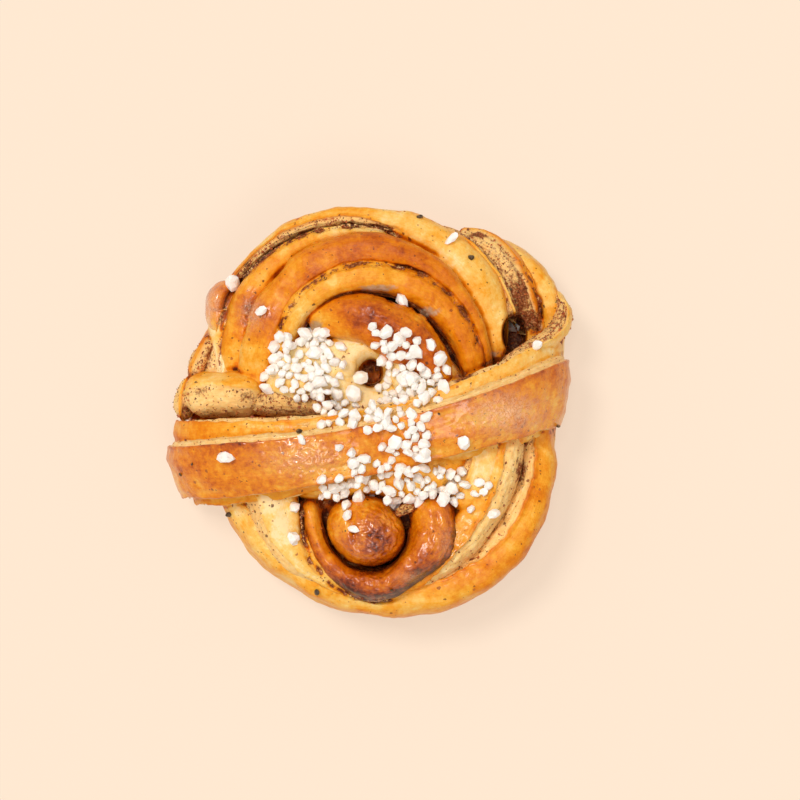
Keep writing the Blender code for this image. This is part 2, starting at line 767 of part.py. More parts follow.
def stand_on_origin(objects):
    """Moves the meshes together so the middle of their box lies over the origin."""
    corners = np.array([vertex.co for obj in objects for vertex in obj.data.vertices])
    middle = (corners.min(axis=0) + corners.max(axis=0)) / 2
    for obj in objects:
        for vertex in obj.data.vertices:
            vertex.co.x -= middle[0]
            vertex.co.y -= middle[1]


def new_collection(name, hidden=False):
    collection = bpy.data.collections.new(name)
    bpy.context.scene.collection.children.link(collection)
    collection.hide_render = hidden
    return collection


def build():
    for obj in list(bpy.data.objects):
        bpy.data.objects.remove(obj)
    bun = new_collection("cinnamon_bun")
    pieces = new_collection("dough_pieces", hidden=True)
    cutters = new_collection("cutters", hidden=True)

    dough = make_core(bun)
    make_foot(pieces)
    make_hole_ring(pieces)
    make_turns(pieces)
    make_ball(pieces)
    make_beside_strap(pieces)
    make_strap(pieces)
    combine(dough, pieces, "UNION", "MANIFOLD")
    keep_largest_body(dough)
    thin_out(dough, TURN_TRIANGLES)

    make_ribbons(cutters, GAP, "_slot")
    make_floor_block(cutters)
    combine(dough, cutters, "DIFFERENCE", "MANIFOLD")
    keep_largest_body(dough)

    make_ribbons(bun, 0.0)
    fillings = [obj for obj in bun.objects if obj is not dough]
    make_grains(dough, fillings, pieces)
    combine(dough, pieces, "UNION", "MANIFOLD")
    keep_largest_body(dough)

    stand_on_origin([dough, *fillings])
    finish(dough, plain_material("dough", DOUGH_COLOUR, 0.55))
    filling = plain_material("filling", FILLING_COLOUR, 0.4)
    for obj in fillings:
        finish(obj, filling)
    for collection in (pieces, cutters):
        bpy.data.collections.remove(collection)


build()
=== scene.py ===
"""The looks of a knotted cinnamon bun: browned turns of dough, speckled cut sides, cinnamon
filling, pearl sugar and spice crumbs.

The routes of the turns follow those of the part's own solids to within about five
millimetres, and the photograph more closely. They are worked out here in millimetres, on
fine grids, and become metres where the meshes are made.
"""
import itertools
import math

import bmesh
import bpy
import numpy as np
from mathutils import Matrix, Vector


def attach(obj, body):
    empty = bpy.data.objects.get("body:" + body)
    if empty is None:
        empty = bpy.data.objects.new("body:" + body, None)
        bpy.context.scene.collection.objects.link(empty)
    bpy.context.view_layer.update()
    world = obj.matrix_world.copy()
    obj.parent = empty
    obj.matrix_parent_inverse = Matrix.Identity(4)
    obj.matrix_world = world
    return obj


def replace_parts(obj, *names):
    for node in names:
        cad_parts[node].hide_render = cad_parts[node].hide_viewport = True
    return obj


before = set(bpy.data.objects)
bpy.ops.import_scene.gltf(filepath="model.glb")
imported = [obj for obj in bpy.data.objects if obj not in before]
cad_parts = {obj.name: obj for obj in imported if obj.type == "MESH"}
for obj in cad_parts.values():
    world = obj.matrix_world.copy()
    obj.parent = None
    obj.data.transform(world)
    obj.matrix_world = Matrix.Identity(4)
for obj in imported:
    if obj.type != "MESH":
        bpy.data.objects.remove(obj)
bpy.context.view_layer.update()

# Driving sizes, in millimetres
MILLIMETRE = 0.001
# What is added to every place, since the frame's origin isn't the point that the turns wind about
MOVED = np.array([0.296, -0.569, 0.0])
UPWARD = (0.0, 0.0, 1.0)
EASTWARD = (1.0, 0.0, 0.0)
GRID_STEP = 0.46
SECTION_POWER = 2.9
STRAP_POWER = 2.7
FREE_POWER = 2.3
CURLED_POWER = 2.2
BALL_POWER = 2.1
ROUND_POWER = 2.0
RIBBON_POWER = 5.0
# No place of these pieces lies lower than this
FLOORS = dict(core=0.15, foot=0.1, strap_upper=0.0, strap_lower=0.05)
# Ends are rounded over these shares of a strand's length
END_ROUNDING = 0.06
BRIDGE_ROUNDING = 0.4
RIBBON_ROUNDING = 0.04
# The fewest stations along a strand and sides round it, and how much finer some are cut
FEWEST_STATIONS = 24
FEWEST_SIDES = 40
DENSE_STATIONS = 4000
SECTION_FINENESS = 0.85
BALL_FINENESS = 4
BRIDGE_FINENESS = 3
FREE_FINENESS = 1.4
TOP_DENSITY = 0.45
SLOT_HALF_WIDTH = 0.6
SLOT_DEPTH = 1.5
CUT_DEPTH = 0.4
UNEVEN_WIDTH = 0.12
UNEVEN_WIDTH_SIZE = 9.0
UNEVEN_HEIGHT = 0.9
UNEVEN_HEIGHT_SIZE = 12.0
SKEW = 0.12
# Sums of noise: the middle value, then the height, size and seed of each noise
SLOT_SWAY = (0, (0.7, 2.6, 78))
SLOT_WHOLE = (0.8, (0.7, 3.6, 77), (0.4, 1.2, 79))
FILLED_WHOLE = (0.8, (0.7, 3, 91))
RIBBON_SHARE = (0.85, (0.8, 3.4, 8))
RIBBON_RELIEF = (0, (1, 1, 5), (0.6, 3, 6))
RIBBON_SINK = (0.7, (1.1, 4.5, 7), (0.6, 1.4, 9))
SLOT_ENDS = (-0.05, 0.03)
SLOT_EDGE = (0.5, 2.0)
# How many degrees before a ribbon's start an angle may lie before it is counted a turn further
TURN_MARGIN = 60
# The noises of a strand's form: size in millimetres and the number added to the strand's seed
PLACE_WAVES = dict(wide=(10, 1), medium=(5, 7), ripple=(2.4, 2), grain=(1, 3))
# The same on the strand's own map, and the shares by which lengths along and around it count
STRAND_WAVES = dict(
    bend=(4, 0, 1, 0.2), tremble=(1.3, 8, 1, 0.2), layers=(0.9, 4, 0.14, 1),
    drag=(2.2, 5, 0.35, 1), seams=(1.7, 9, 0.09, 1), creased=(3.4, 10, 1, 0.3),
    folds=(3.6, 14, 0.1, 1),
)
# Waves that are thin lines where their noise is near nothing, and how wide
LINE_WIDTHS = dict(seams=0.13, creased=0.07)
# Degrees by which waves move the crust's edges, and millimetres by which they raise the dough
EDGE_WEIGHTS = dict(bend=5.0, tremble=2.6)
RELIEF = dict(
    wide=0.4, medium=0.24, ripple=0.14, folds=0.34, drag=0.15, creased=-0.06, grain=0.14,
    layers=0.2, seams=-0.24,
)
TONE_WEIGHTS = dict(wide=0.06, drag=0.05, medium=0.06, creased=0.03, folds=0.08)
# The crust's edge in degrees: how soft it is, and the lip on it and the dip beside it as
# (distance from the edge, width, height in millimetres)
CRUST_EDGE = (-1.8, 1.8)
LIP = (4, 6.0, 0.4)
UNDER_LIP = (5, 7.0, 0.4)
LIP_LIMITS = (-50, 200)
# Strands read their noise at heights so far apart, in so many storeys
MAPS_APART = 7.0
MAPS = 13
# How much faces turn up where slots and dents begin to sink and where they sink fully
SINKING = (0.0, 0.4)
# Cinnamon marks: clean dough, cut sides, seams and slots, and over how many degrees an edge
# sinks into filling
CLEAN_CINNAMON = 0.12
SPECK_CINNAMON = 0.62
SEAM_CINNAMON = 0.55
SLOT_CINNAMON = 1.1
DARK_EDGE = (0, 14)
GROOVE_WAVER = 1.6
WRINKLE_HEIGHT = 1.5
WRINKLE_SHARPNESS = 2.4
WRINKLE_SIZE = 1.5
WRINKLE_STRETCH = (1.0, 0.8, 1.0)
# The noise: how many slopes it draws from, how far its lattice is shifted, how a corner's whole
# numbers are mixed into the number of a slope, and what brings it to about -1 to 1
NOISE_SLOPES = 256
NOISE_SHIFT = 50
NOISE_PRIMES = (73856093, 19349663, 83492791)
NOISE_FOLD = 13
NOISE_GAIN = 1.6
# The net for heights seen from above, and how far apart a crease's two sides may lie
FIELD_HALF = 64.0
FIELD_CELL = 0.4
NARROW_CREASES = (0.8, 1.2)
WIDE_CREASES = (2.0, 3.0)
CREASE_WAYS = 8
# Faces that turn up less than this leave no height, and a cell this much lower is empty
LEAST_FACING_UP = 0.05
EMPTY_DROP = 1.5
# How much browner the crust's lip and the lowest dough are, how much browner the creases are
# painted as shade, and the depths or heights in millimetres between which that grows
BROWNING_AND_CREASE_SHADE = dict(lip=0.1, wide=0.16, narrow=0.4, low=0.3)
BROWNING_AND_SHADE_DEPTHS = dict(wide=(1.0, 3.4), narrow=(0.2, 0.9), low=(3.0, 0.3))
# The depths between which creases fill with dark cinnamon: filling, and painted shade as well
FILLED_AND_SHADED_DEPTHS = dict(wide=(2.2, 4.6), narrow=(0.45, 1.1))
PATCH_CINNAMON = 0.95
PATCH_CINNAMON_ON_CRUST = 0.4

# The core under the turns: an ellipsoid
CORE_RADIUS = 46.0
CORE_HEIGHT = 20.0
CORE_MIDDLE = 10.0
CORE_RINGS = 140
CORE_FADE = 8

# The foot: a closed turn that the bun stands on, one radius for every 45 degrees from +X
FOOT = dict(
    radius=(42, 47, 43.5, 40.5, 41, 36.5, 43, 45), half_width=9, half_height=9.5, middle=8.5,
    centre=(0, 0), tilt=0,
)

# Turns of dough. Angles in degrees about the centre, anticlockwise from +X. Each tuple
# runs evenly along the turn and a smooth curve passes through its values.
# crest is the height of the turn's top, lean is how far its outer side is turned down.
TURNS = dict(
    outer_top=dict(
        angles=(20, 140), radius=(35, 39.2, 42.6, 45.4, 47.5, 49.4, 50.8, 51.3, 50.6, 49.4),
        half_width=(1.6, 3.8, 5.8, 6.3, 5.4, 4, 3.3, 3, 2.4, 1.6),
        crest=(27.5, 30.5, 32.4, 33.4, 33.2, 32.6, 31.8, 31, 29, 26),
        half_height=(9, 11.5, 12, 12, 12, 9), lean=(-8, -14, -18, -14, -10, -8),
    ),
    outer_layer_right=dict(
        angles=(33, 80), radius=(46.4, 49.2, 51.2, 51.8, 49.6), half_width=(2.4, 2.5, 2.5, 2, 1.6),
        crest=(24, 26.6, 27.6, 26, 21), half_height=(8, 10, 10, 9, 6), lean=(0, -4, -8),
    ),
    speckled_right=dict(
        angles=(25, 63), radius=(49.2, 50.6, 53, 54.2, 52.2), half_width=(3.8, 5.2, 5.6, 4.8, 3),
        crest=(19, 22, 24, 24, 20), half_height=(6, 8, 9, 8.5, 6), lean=(0, 6, 0),
    ),
    smooth_right=dict(
        angles=(6, 66), radius=(46, 53.6, 58, 56, 50), half_width=(3, 3.5, 3.5, 3.6, 3),
        crest=(14, 18, 20, 18.5, 13), half_height=(5, 7, 7.5, 7, 5), lean=(0, 4, 0),
    ),
    left_end=dict(
        angles=(118, 182), radius=(43, 44.8, 45.2, 43, 41.3, 40.6),
        half_width=(3.8, 4.6, 5.2, 5.2, 5.4, 5), crest=(18, 23, 27, 27, 26.5, 24),
        half_height=(7, 8.5, 10.5, 10.5, 10, 9), lean=(-14, -6, 0),
    ),
    second_top=dict(
        angles=(84, 172), radius=(46.6, 47.2, 46.6, 44.6, 41.4, 38.2, 37),
        half_width=(1.2, 2.2, 3.2, 4.2, 4.8, 4.4, 3.6), crest=(32.5, 34.5, 34.5, 34, 31.5, 28, 25),
        half_height=(9, 10, 10, 10, 9, 8, 7), lean=(-10, -16, -10),
    ),
    third_top=dict(
        angles=(12, 176), radius=(31, 35, 39.2, 41.8, 40.6, 36.4, 32.2, 30.4),
        half_width=(1.6, 2.4, 3.2, 5.1, 6, 6.1, 6, 5),
        crest=(30, 35.5, 39.4, 40.6, 40.4, 39, 35, 30),
        half_height=(8, 10.5, 11.8, 12, 12, 11.8, 10, 8), lean=(-8, -8, -10, -12, -8),
    ),
    inner_arc=dict(
        angles=(11, 148), radius=(28.6, 32, 34.9, 35.6, 33.7, 28.5),
        half_width=(3, 4.4, 4.9, 4.5, 4.1, 3.3), crest=(32, 38.5, 42, 43, 41.5, 37),
        half_height=(8, 9, 9.5, 9.5, 9, 8), lean=(0, -6, 0),
    ),
    middle_dome=dict(
        angles=(20, 124), radius=(22, 21.6, 22.8, 25.8, 28.4), half_width=(2.8, 5.4, 7.2, 6, 3.2),
        crest=(38, 44, 46.5, 44.5, 38), half_height=(7, 8.5, 9.5, 8.5, 6), lean=(6, 10, 0),
    ),
    heel_left=dict(
        angles=(112, 172), radius=(13.5, 17.6, 21, 23), half_width=(6, 8.6, 9, 6),
        crest=(37, 39, 38.5, 35.5), half_height=(7, 8.5, 8.5, 7), lean=(10, 0),
    ),
    heel_right=dict(
        angles=(4, 62), radius=(21.5, 17.2, 13.6), half_width=(7, 8.6, 6.4), crest=(37, 40, 41),
        half_height=(7, 8.5, 8), lean=(10, 0),
    ),
    shelf_under_strap=dict(
        angles=(-140, -22), radius=(27.5, 21.5, 17.6, 17.4, 21, 24, 26),
        half_width=(4.6, 5.2, 5.4, 5.6, 5.8, 5.4, 4.6),
        crest=(34.5, 37, 37.8, 38.2, 39, 38.8, 36.5), half_height=(7, 8.5, 9, 9, 9, 8.5, 7),
        lean=(0, 8, 0),
    ),
    lower_rim=dict(
        angles=(-168, 10), radius=(41, 43.6, 46.6, 49.2, 51.6, 52, 49.8, 45.8, 42),
        half_width=(3.8, 4.4, 4.6, 4.8, 5.6, 6.4, 6.2, 5.4, 4.4),
        crest=(19, 24.5, 26.5, 27.4, 28.4, 29.4, 29.4, 27, 22),
        half_height=(7, 9, 9.5, 9.5, 10.2, 11, 10.8, 10, 8), lean=(0, 8, 4, -6, -6),
    ),
    lower_second=dict(
        angles=(-164, 4), radius=(31, 34.6, 42.6, 47.4, 47, 43.2, 40, 37.6, 35),
        half_width=(6, 7.2, 5.6, 4.4, 4.6, 5.8, 6.4, 6.2, 4.8),
        crest=(31, 34.5, 33.2, 30, 31.4, 34.8, 36.6, 36.4, 33),
        half_height=(8, 9.5, 10, 9.5, 10, 11, 11, 10, 8), lean=(16, 18, 6, 6, 4),
    ),
    wedge=dict(
        angles=(-48, -2), radius=(33, 33.5, 32, 30), half_width=(4, 5.8, 5.2, 4.6),
        crest=(35.5, 37.2, 37.2, 34), half_height=(6, 7.5, 7.5, 6), lean=(-6, 0),
    ),
)

# The low ring of dough round the hole in the middle
HOLE_RING = dict(
    centre=(0.4, 10.6), radius=(9,) * 8, half_width=5.8, half_height=6.5, middle=31.2, tilt=1.2,
)
# Hollows sink whatever they pass through, above their floor. bake and cinnamon are the marks
# of the dough inside: browned dough and filling, darkened further as painted shade of the hollow.
HOLLOWS = dict(
    middle_hole=dict(
        centre=(0.4, 10.3), half_size=(3.1, 3.8), depth=7.5, floor=24, bake=0.5, cinnamon=0.5,
    ),
    right_cavity=dict(
        centre=(39.2, 21), half_size=(3.4, 5.2), depth=9, floor=6, bake=0.9, cinnamon=0.95,
    ),
)
HOLLOW_RIM = (0.82, 1.12)
HOLLOW_FREE = ("strap_upper", "strap_lower", "strap_flare")

# The ball of dough in the near half, and the turn curled round it about the ball's centre
BALL = dict(
    centre=(-1.2, -32.2), radius=(10.4, 9.5, 10.2), shift=0.2, middle=30.6, curl=0.5,
)
CURLED_TURN = dict(
    angles=(146, 392), radius=(17.4, 14.2, 13.8, 14.6, 16, 16.1, 18.7, 19.4),
    half_width=(2.6, 2.9, 3.1, 3.5, 4, 4, 6.1, 5.6), crest=(34, 34, 33.5, 34, 36, 38.5, 39.5, 38),
    half_height=(7, 8, 8.5, 9, 9.5, 9.5, 9, 7.5), lean=(0, 6, 10, 6, 0),
)
BALL_BRIDGE = {"from": (6.6, -27.6, 33.4), "to": (12.4, -25.4, 35.4), "half": 1.9}

# Short turns that follow no circle, from their first to their last place. Their outer side
# is the one on the right of that way.
FREE_TURNS = dict(
    beside_strap=dict(
        x=(-28.4, -33, -38, -43.5, -49.6), y=(4.8, 4.6, 4.4, 4.2, 3.8),
        crest=(34.2, 35.4, 34.6, 33.2, 31), half_width=(5.2, 6.4, 6.6, 6.7, 6.4),
        half_height=(9, 10, 10.5, 11, 11), rounding=0.26, lean=0,
    ),
    beside_strap_tail=dict(
        x=(-8, -16, -24, -32), y=(1.8, 2.6, 2.9, 2.4), crest=(37.6, 37, 35, 32),
        half_width=(4.4, 5, 4.8, 4), half_height=(7, 8, 8, 7), rounding=0.1, lean=(-2, -4, -4),
    ),
    left_stub=dict(
        x=(-48.6, -50.2, -50.6), y=(8.6, 4, -2.6), crest=(22, 26, 26), half_width=(2.6, 3.2, 3),
        half_height=(6, 8, 8), rounding=0.36, lean=0,
    ),
    left_fold=dict(
        x=(-42.4, -44.6, -46.8, -48), y=(20.6, 17, 13, 8), crest=(26.5, 27.5, 28, 27),
        half_width=(1.8, 2.5, 2.8, 2.4), half_height=(6, 7.5, 8.5, 8), rounding=0.3,
        lean=(0, 6, 0),
    ),
    left_loop=dict(
        x=(-37.2, -40.6, -41.8, -41.6, -40.8), y=(35, 32.2, 28.4, 24, 19),
        crest=(27, 29, 29, 28, 26), half_width=(2, 2.7, 2.9, 2.6, 2),
        half_height=(6, 7.5, 8.5, 7.5, 6), rounding=0.34, lean=(0, 6, 0),
    ),
    strap_flare=dict(
        x=(36.6, 44.4, 50, 52.4, 51.2), y=(13.6, 17, 20.8, 25.8, 31.6),
        crest=(38.6, 33.6, 27.6, 23, 18.5), half_width=(2, 2.8, 3.2, 2.5, 1.4),
        half_height=(6, 7, 8, 8, 6), rounding=0.1, lean=(6, 4, 0),
    ),
)

# The strap: a loop in the XZ plane, flat at its top, its ends tucked under the bun
# path_y gives the strap's Y from X: its value at the middle, its slope and its bend.
STRAP = dict(
    angles=(-66, 246), half_length=50.6, loop_middle=16.5, top_rise=26.6, bottom_drop=16.2,
    loop_power=2.7, flatness=0.6, path_y=(-9.6, 0.209, 0.00173), layer_step=5.2, end_step=2.6,
    roll=(2, 6, 14, 20, 24, 12, 2),
)
UPPER_LAYER = dict(
    step=0, shift=0, half_width=(6, 8.8, 10.2, 9, 7.9, 8.9, 8.2, 7.6, 5.5),
    half_height=(2.6, 3.1, 3.6, 3.9, 3.6, 3.9, 3.8, 3.2, 2.6),
)
LOWER_LAYER = dict(
    step=1, shift=(-0.4, 0.2, 2.4, 1.2, 0.9, 1.4, 1.6, 0.8, -0.2),
    half_width=(6, 9.8, 13.8, 12.2, 10.6, 12.5, 12.2, 10.2, 5.4),
    half_height=(2.4, 3, 3.6, 3.8, 3.8, 3.8, 3.6, 3, 2.4),
)
# Bulges along the strap's top as (x, half length, height)
STRAP_BULGES = ((-17.0, 11.0, 1.7), (27.0, 12.0, 1.9), (4.0, 4.5, -1.6))

# The cinnamon filling: upright ribbons that stand in slots between the turns. opens is the
# share of a ribbon's length, from its first angle, over which the dough has closed above it.
RIBBON_HALF_THICKNESS = 0.42
RIBBON_ROUGHNESS = 0.4
RIBBON_SHARE_LIMITS = (0.4, 1.5)
RIBBON_SIDES = 90
RIBBON_GIRTH = 20.0
# How much bare dough shows through a ribbon, along it from its first to its last angle
RIBBON_BARE = (0.44, 0.36, 0.46, 0.36, 0.44)
STRAP_BARE = (0.5, 0.45, 0.5, 0.7, 0.9, 0.9, 0.9)
UPRIGHT_RIBBONS = dict(
    outer_filling=dict(
        angles=(66, 134), radius=(46.4, 49, 50.4, 50.6, 49.6), top=(28, 31.2, 32, 31.2, 28.4),
        half_height=5, centre=(0, 0), opens=0.24,
    ),
    inner_filling=dict(
        angles=(30, 146), radius=(34, 37.6, 39.2, 39, 36, 30.4),
        top=(32, 37.4, 40, 40.4, 39.2, 36), half_height=5.5, centre=(0, 0), opens=0,
    ),
    right_filling=dict(
        angles=(26, 47), radius=(51.4, 54.8, 56.4, 57), top=(15.8, 18.8, 19.6, 18.4),
        half_height=3.6, centre=(0, 0), opens=0,
    ),
    lower_filling=dict(
        angles=(158, 292), radius=(18, 16.9, 16.6, 17.2, 18.4, 20.2),
        top=(32.4, 31.6, 29.8, 28.2, 28.6, 30), half_height=3.4, centre=(-1.2, -32.2), opens=0,
    ),
)
STRAP_RIBBON = dict(
    angles=(-12, 192), step=0.5, past_edge=-0.1, half_thickness=0.3,
    length=190, rounding=0.03, roughness=0.12,
)

# How each turn is baked. crust_from and crust_to are where the crust begins on the outer
# side and ends on the inner side, in degrees round the section from the outer side (0) over
# the top (90) to the inner side (180). tone is the browning along the turn, across is what
# is added to it from the crust's outer to its inner edge. specks is the cinnamon on the
# outer and the inner cut side, dark_from is where the inner side sinks into filling.
PLAIN_LOOK = dict(
    crust_from=-60, crust_to=190, tone=0.4, across=0, specks_outside=0.35, specks_inside=0.45,
    dark_below=-95, dark_from=215, grooves=(), gloss=0, crease=1, waver=1, layered=1,
)
LOOKS = dict(
    outer_top=dict(
        crust_to=(190, 186, 176, 104, 86, 80), tone=(0.34, 0.3, 0.24, 0.22, 0.28, 0.34),
        across=(0.28, 0.18, 0.06, -0.04, 0, 0.12), specks_inside=(0.5, 0.6, 1, 0.8, 0.9, 1.2),
        dark_from=160,
    ),
    outer_layer_right=dict(
        crust_from=70, crust_to=86, tone=0.14, specks_outside=(1, 1.1, 0.9),
        specks_inside=(0.75, 0.7, 0.5), dark_from=178,
    ),
    speckled_right=dict(
        crust_to=(52, 56, 50, 34, 20), tone=(0.36, 0.42, 0.38, 0.3),
        specks_inside=(1, 1.1, 1, 0.9, 0.8), dark_from=190, grooves=((96, 9, 0.5, 0.5),),
    ),
    smooth_right=dict(
        crust_to=150, tone=(0.2, 0.22, 0.2), across=(0.14, 0, 0, 0.08), specks_inside=0.9,
        dark_from=172,
    ),
    left_end=dict(
        crust_from=(-60, -60, -20, 60, 86, 90), crust_to=(170, 160, 140, 120, 150, 160),
        tone=(0.4, 0.36, 0.2, 0.06, 0.04, 0.1), specks_outside=(0.4, 0.4, 0.5, 0.7, 0.6),
        specks_inside=0.7, dark_from=185, grooves=((88, 8, 0.7, 0.8),), gloss=0.3,
    ),
    second_top=dict(
        crust_from=10, crust_to=172, tone=(0.1, 0.14, 0.26, 0.38, 0.46, 0.3, 0.04),
        across=(0.04, 0, 0.08, 0.1), specks_outside=1, dark_below=-5, dark_from=190,
    ),
    third_top=dict(
        crust_from=0, crust_to=150, tone=(0.4, 0.46, 0.54, 0.6, 0.6, 0.48, 0.4, 0.26),
        across=(-0.14, -0.1, 0, 0.06, 0.14), dark_below=-20, specks_inside=1, dark_from=158,
    ),
    inner_arc=dict(
        crust_from=20, crust_to=165, tone=(0.46, 0.5, 0.46, 0.36, 0.3, 0.3),
        across=(0.16, 0.02, 0, 0.06), specks_outside=1, specks_inside=0.8, dark_below=8,
        dark_from=182,
    ),
    middle_dome=dict(
        crust_from=15, crust_to=168, tone=(0.38, 0.54, 0.68, 0.62, 0.4),
        across=(-0.2, 0.02, 0.08, -0.04, -0.4), specks_outside=0.8, specks_inside=0.2,
        dark_below=5, gloss=0.1,
    ),
    heel_left=dict(tone=(0.02, 0.06, 0.1), specks_inside=0.2),
    heel_right=dict(tone=(0.1, 0.06, 0.04), specks_inside=0.2),
    shelf_under_strap=dict(
        tone=(0.3, 0.34, 0.3), specks_outside=0.6, crust_to=120, specks_inside=0.8,
    ),
    lower_rim=dict(
        crust_to=(115, 120, 130, 135, 120, 112, 108, 104, 100),
        tone=(0.26, 0.25, 0.25, 0.28, 0.36, 0.44, 0.46, 0.42, 0.36),
        across=(0, 0.14, 0.06, -0.06, -0.02), specks_outside=0.3,
        specks_inside=(0.4, 0.3, 0.2, 0.3, 0.4, 0.3, 0.3, 0.6, 0.8), dark_from=185,
        grooves=((150, 6, 0.35, 0.5),),
    ),
    lower_second=dict(
        crust_from=(30, 40, 40, 40, 40, 62, 70, 74, 78),
        crust_to=(170, 168, 160, 150, 170, 178, 180, 180, 180),
        tone=(0.04, 0.08, 0.14, 0.3, 0.4, 0.42, 0.42, 0.4, 0.34), across=(-0.06, 0, 0.02, 0.1),
        specks_outside=(0.4, 0.3, 0.4, 0.5, 0.4, 0.3, 0.2, 0.3, 0.5), specks_inside=0.9,
        dark_below=-12, dark_from=190,
    ),
    wedge=dict(
        crust_from=20, crust_to=(110, 120, 140), tone=(0.3, 0.12, 0.1, 0.14), specks_inside=0.7,
        dark_from=200,
    ),
    hole_ring=dict(
        tone=(0.06, 0.1, 0.08, 0.02, 0.02, 0.02, 0.06, 0.06), crust_to=200, dark_from=175,
    ),
    ball=dict(
        tone=(0.5, 0.58, 0.6, 0.6, 0.5), across=(0.1, 0.08, 0, -0.1, -0.22), crust_from=-90,
        crust_to=270, gloss=0.5,
    ),
    curled_turn=dict(
        tone=(0.38, 0.52, 0.64, 0.72, 0.74, 0.7, 0.6, 0.52),
        across=(0.42, 0.2, 0.02, -0.06, -0.06, 0.06), crust_from=14, crust_to=172,
        specks_outside=1, specks_inside=1, dark_below=-4, dark_from=184, gloss=0.35,
    ),
    ball_bridge=dict(
        tone=0.5, crust_from=88, crust_to=92, specks_outside=1, specks_inside=1,
    ),
    beside_strap=dict(
        crust_from=-40, crust_to=(100, 76, 66, 66, 80), tone=(0.3, 0.28, 0.24, 0.26, 0.34),
        across=(0, 0.06, -0.08), specks_outside=0.4, specks_inside=(0.62, 0.52, 0.46, 0.54, 0.66),
        crease=0.4, layered=0.3,
    ),
    beside_strap_tail=dict(
        crust_from=-40, crust_to=(60, 50, 40), tone=(0.24, 0.2), specks_outside=0.6,
        specks_inside=(0.9, 1, 0.8), crease=0.6, layered=0.5,
    ),
    left_stub=dict(
        crust_from=66, crust_to=80, tone=(0.2, 0.24, 0.2), specks_outside=0.75, specks_inside=0.8,
        layered=0.5,
    ),
    left_fold=dict(
        crust_from=40, crust_to=62, tone=(0.4, 0.3), specks_outside=0.9, specks_inside=0.85,
        dark_from=186, layered=0.5,
    ),
    left_loop=dict(
        crust_to=(170, 165, 130, 90, 70), tone=(0.5, 0.64, 0.64, 0.4, 0.14), specks_inside=0.9,
        dark_from=176, gloss=0.7,
    ),
    strap_flare=dict(
        crust_from=30, crust_to=(78, 84, 90), tone=(0.16, 0.2, 0.24), specks_outside=0.9,
        specks_inside=1, grooves=((30, 8, 0.5, 0.9), (120, 8, 0.4, 0.9)), dark_from=176,
    ),
    strap_upper=dict(
        crust_from=34, crust_to=(170, 160, 146, 142, 142, 142, 146, 160, 170),
        tone=(0.36, 0.4, 0.5, 0.5, 0.46, 0.54, 0.5, 0.42, 0.38),
        across=(0.06, 0.04, 0, -0.04, -0.06), specks_outside=0.16, specks_inside=0.16, gloss=0.35,
        crease=0.4, waver=0.45,
    ),
    strap_lower=dict(
        crust_from=(6, 8, 14, 20, 24, 20, 10, 6, 6), crust_to=150,
        tone=(0.22, 0.18, 0.16, 0.2, 0.3, 0.4, 0.42, 0.34, 0.24), across=(-0.06, 0.02, 0.06, 0),
        specks_outside=0.5, specks_inside=0.3, crease=0.4,
    ),
    foot=dict(
        tone=(0.34, 0.3, 0.36, 0.3, 0.28, 0.32, 0.36, 0.34), crust_from=-95, crust_to=275,
    ),
    core=dict(tone=0.5, crust_from=-95, crust_to=275),
)

# Soft patches over the bun as (x, y, half length, half width, strength). Dents are pressed
# straight down, in millimetres.
DENTS = (
    (-5, -28.6, 1, 2.6, 1.3), (-4.2, -32.6, 0.9, 2.4, 1.5), (-2.6, -35.8, 1.2, 1.4, 0.8),
    (2.6, -33.6, 1, 0.8, 0.7), (4.6, -30.8, 0.8, 1.2, 0.6), (0.4, -1.6, 1, 5, 0.8),
    (-31, 25, 1.2, 2.6, 1), (-29.6, 29.6, 1.8, 0.9, 0.8), (11, -40, 0.9, 1.4, 0.6),
    (18, -29, 1, 3, 0.7), (-14.5, 22.5, 2.2, 2, 1.6),
)
CINNAMON_PATCHES = (
    (-27, -26, 2.4, 1.4, 0.9), (-36, -28, 1.8, 2.6, 0.6), (-45.4, 5.4, 2.4, 2, 0.46),
    (-33.5, 4.2, 4.2, 2.2, 0.48), (-12, 4.6, 7, 1.6, 0.8), (24, 9.6, 5, 1.8, 0.8),
    (40.8, 32, 1.8, 6, 0.28), (38.6, 25, 2.2, 3, 0.1), (34.6, 19.4, 2.4, 2.4, 0.3),
    (29.5, 47.8, 2.4, 1, 0.45), (44.6, 24.6, 3, 1.6, 0.5), (-43.4, 15, 1, 3, 0.3),
    (-50, 0.6, 1.6, 1.2, 0.5), (32, -20, 4.6, 3.4, 0.45), (40.5, -16, 1.8, 5, 0.7),
    (-18, 29, 3, 2, 0.3),
)
BROWNING_PATCHES = (
    (-32.6, 26.6, 4.4, 4.6, 0.3), (2, -34, 4.6, 4.6, 0.14), (-7, -28, 2.6, 4, -0.16),
    (-13, 24, 3, 3, -0.25), (-8, 14, 5.6, 6, -0.2), (1, -40, 3, 2, 0.1), (-28, 16, 4, 4, -0.2),
)
GLAZE_PATCHES = (
    (-32, 26, 4.6, 4.6, 1), (-17, -13, 13, 6, 0.8), (35, -1, 12, 7, 0.8), (1, -34, 5, 5, 0.8),
    (24, -36, 6, 8, 0.5),
)
MELT_PATCHES = (
    (2, 33, 7, 1.4, 0.9), (16, 26.6, 5, 2.2, 0.8), (-14.5, 22.5, 2.6, 2.6, 0.9),
    (24, 9, 5, 2.4, 0.6), (39, 30, 2.2, 5, 0.45), (33.8, 15.6, 3.4, 2.2, 0.7),
)
# Painted highlight: patches where the crust is mixed towards a pale pink, in place of the glaze's
# reflection of the lamps
PAINTED_HIGHLIGHT_PATCHES = (
    (-42.6, 29, 2.6, 4, 0.75), (36, -0.4, 9, 4.6, 1), (-18, -12.6, 9, 4, 0.4),
    (-31.6, 26.4, 3, 3.6, 0.6), (20.4, -35, 2, 3.4, 0.4), (11, -44.4, 3.4, 1.4, 0.5),
)
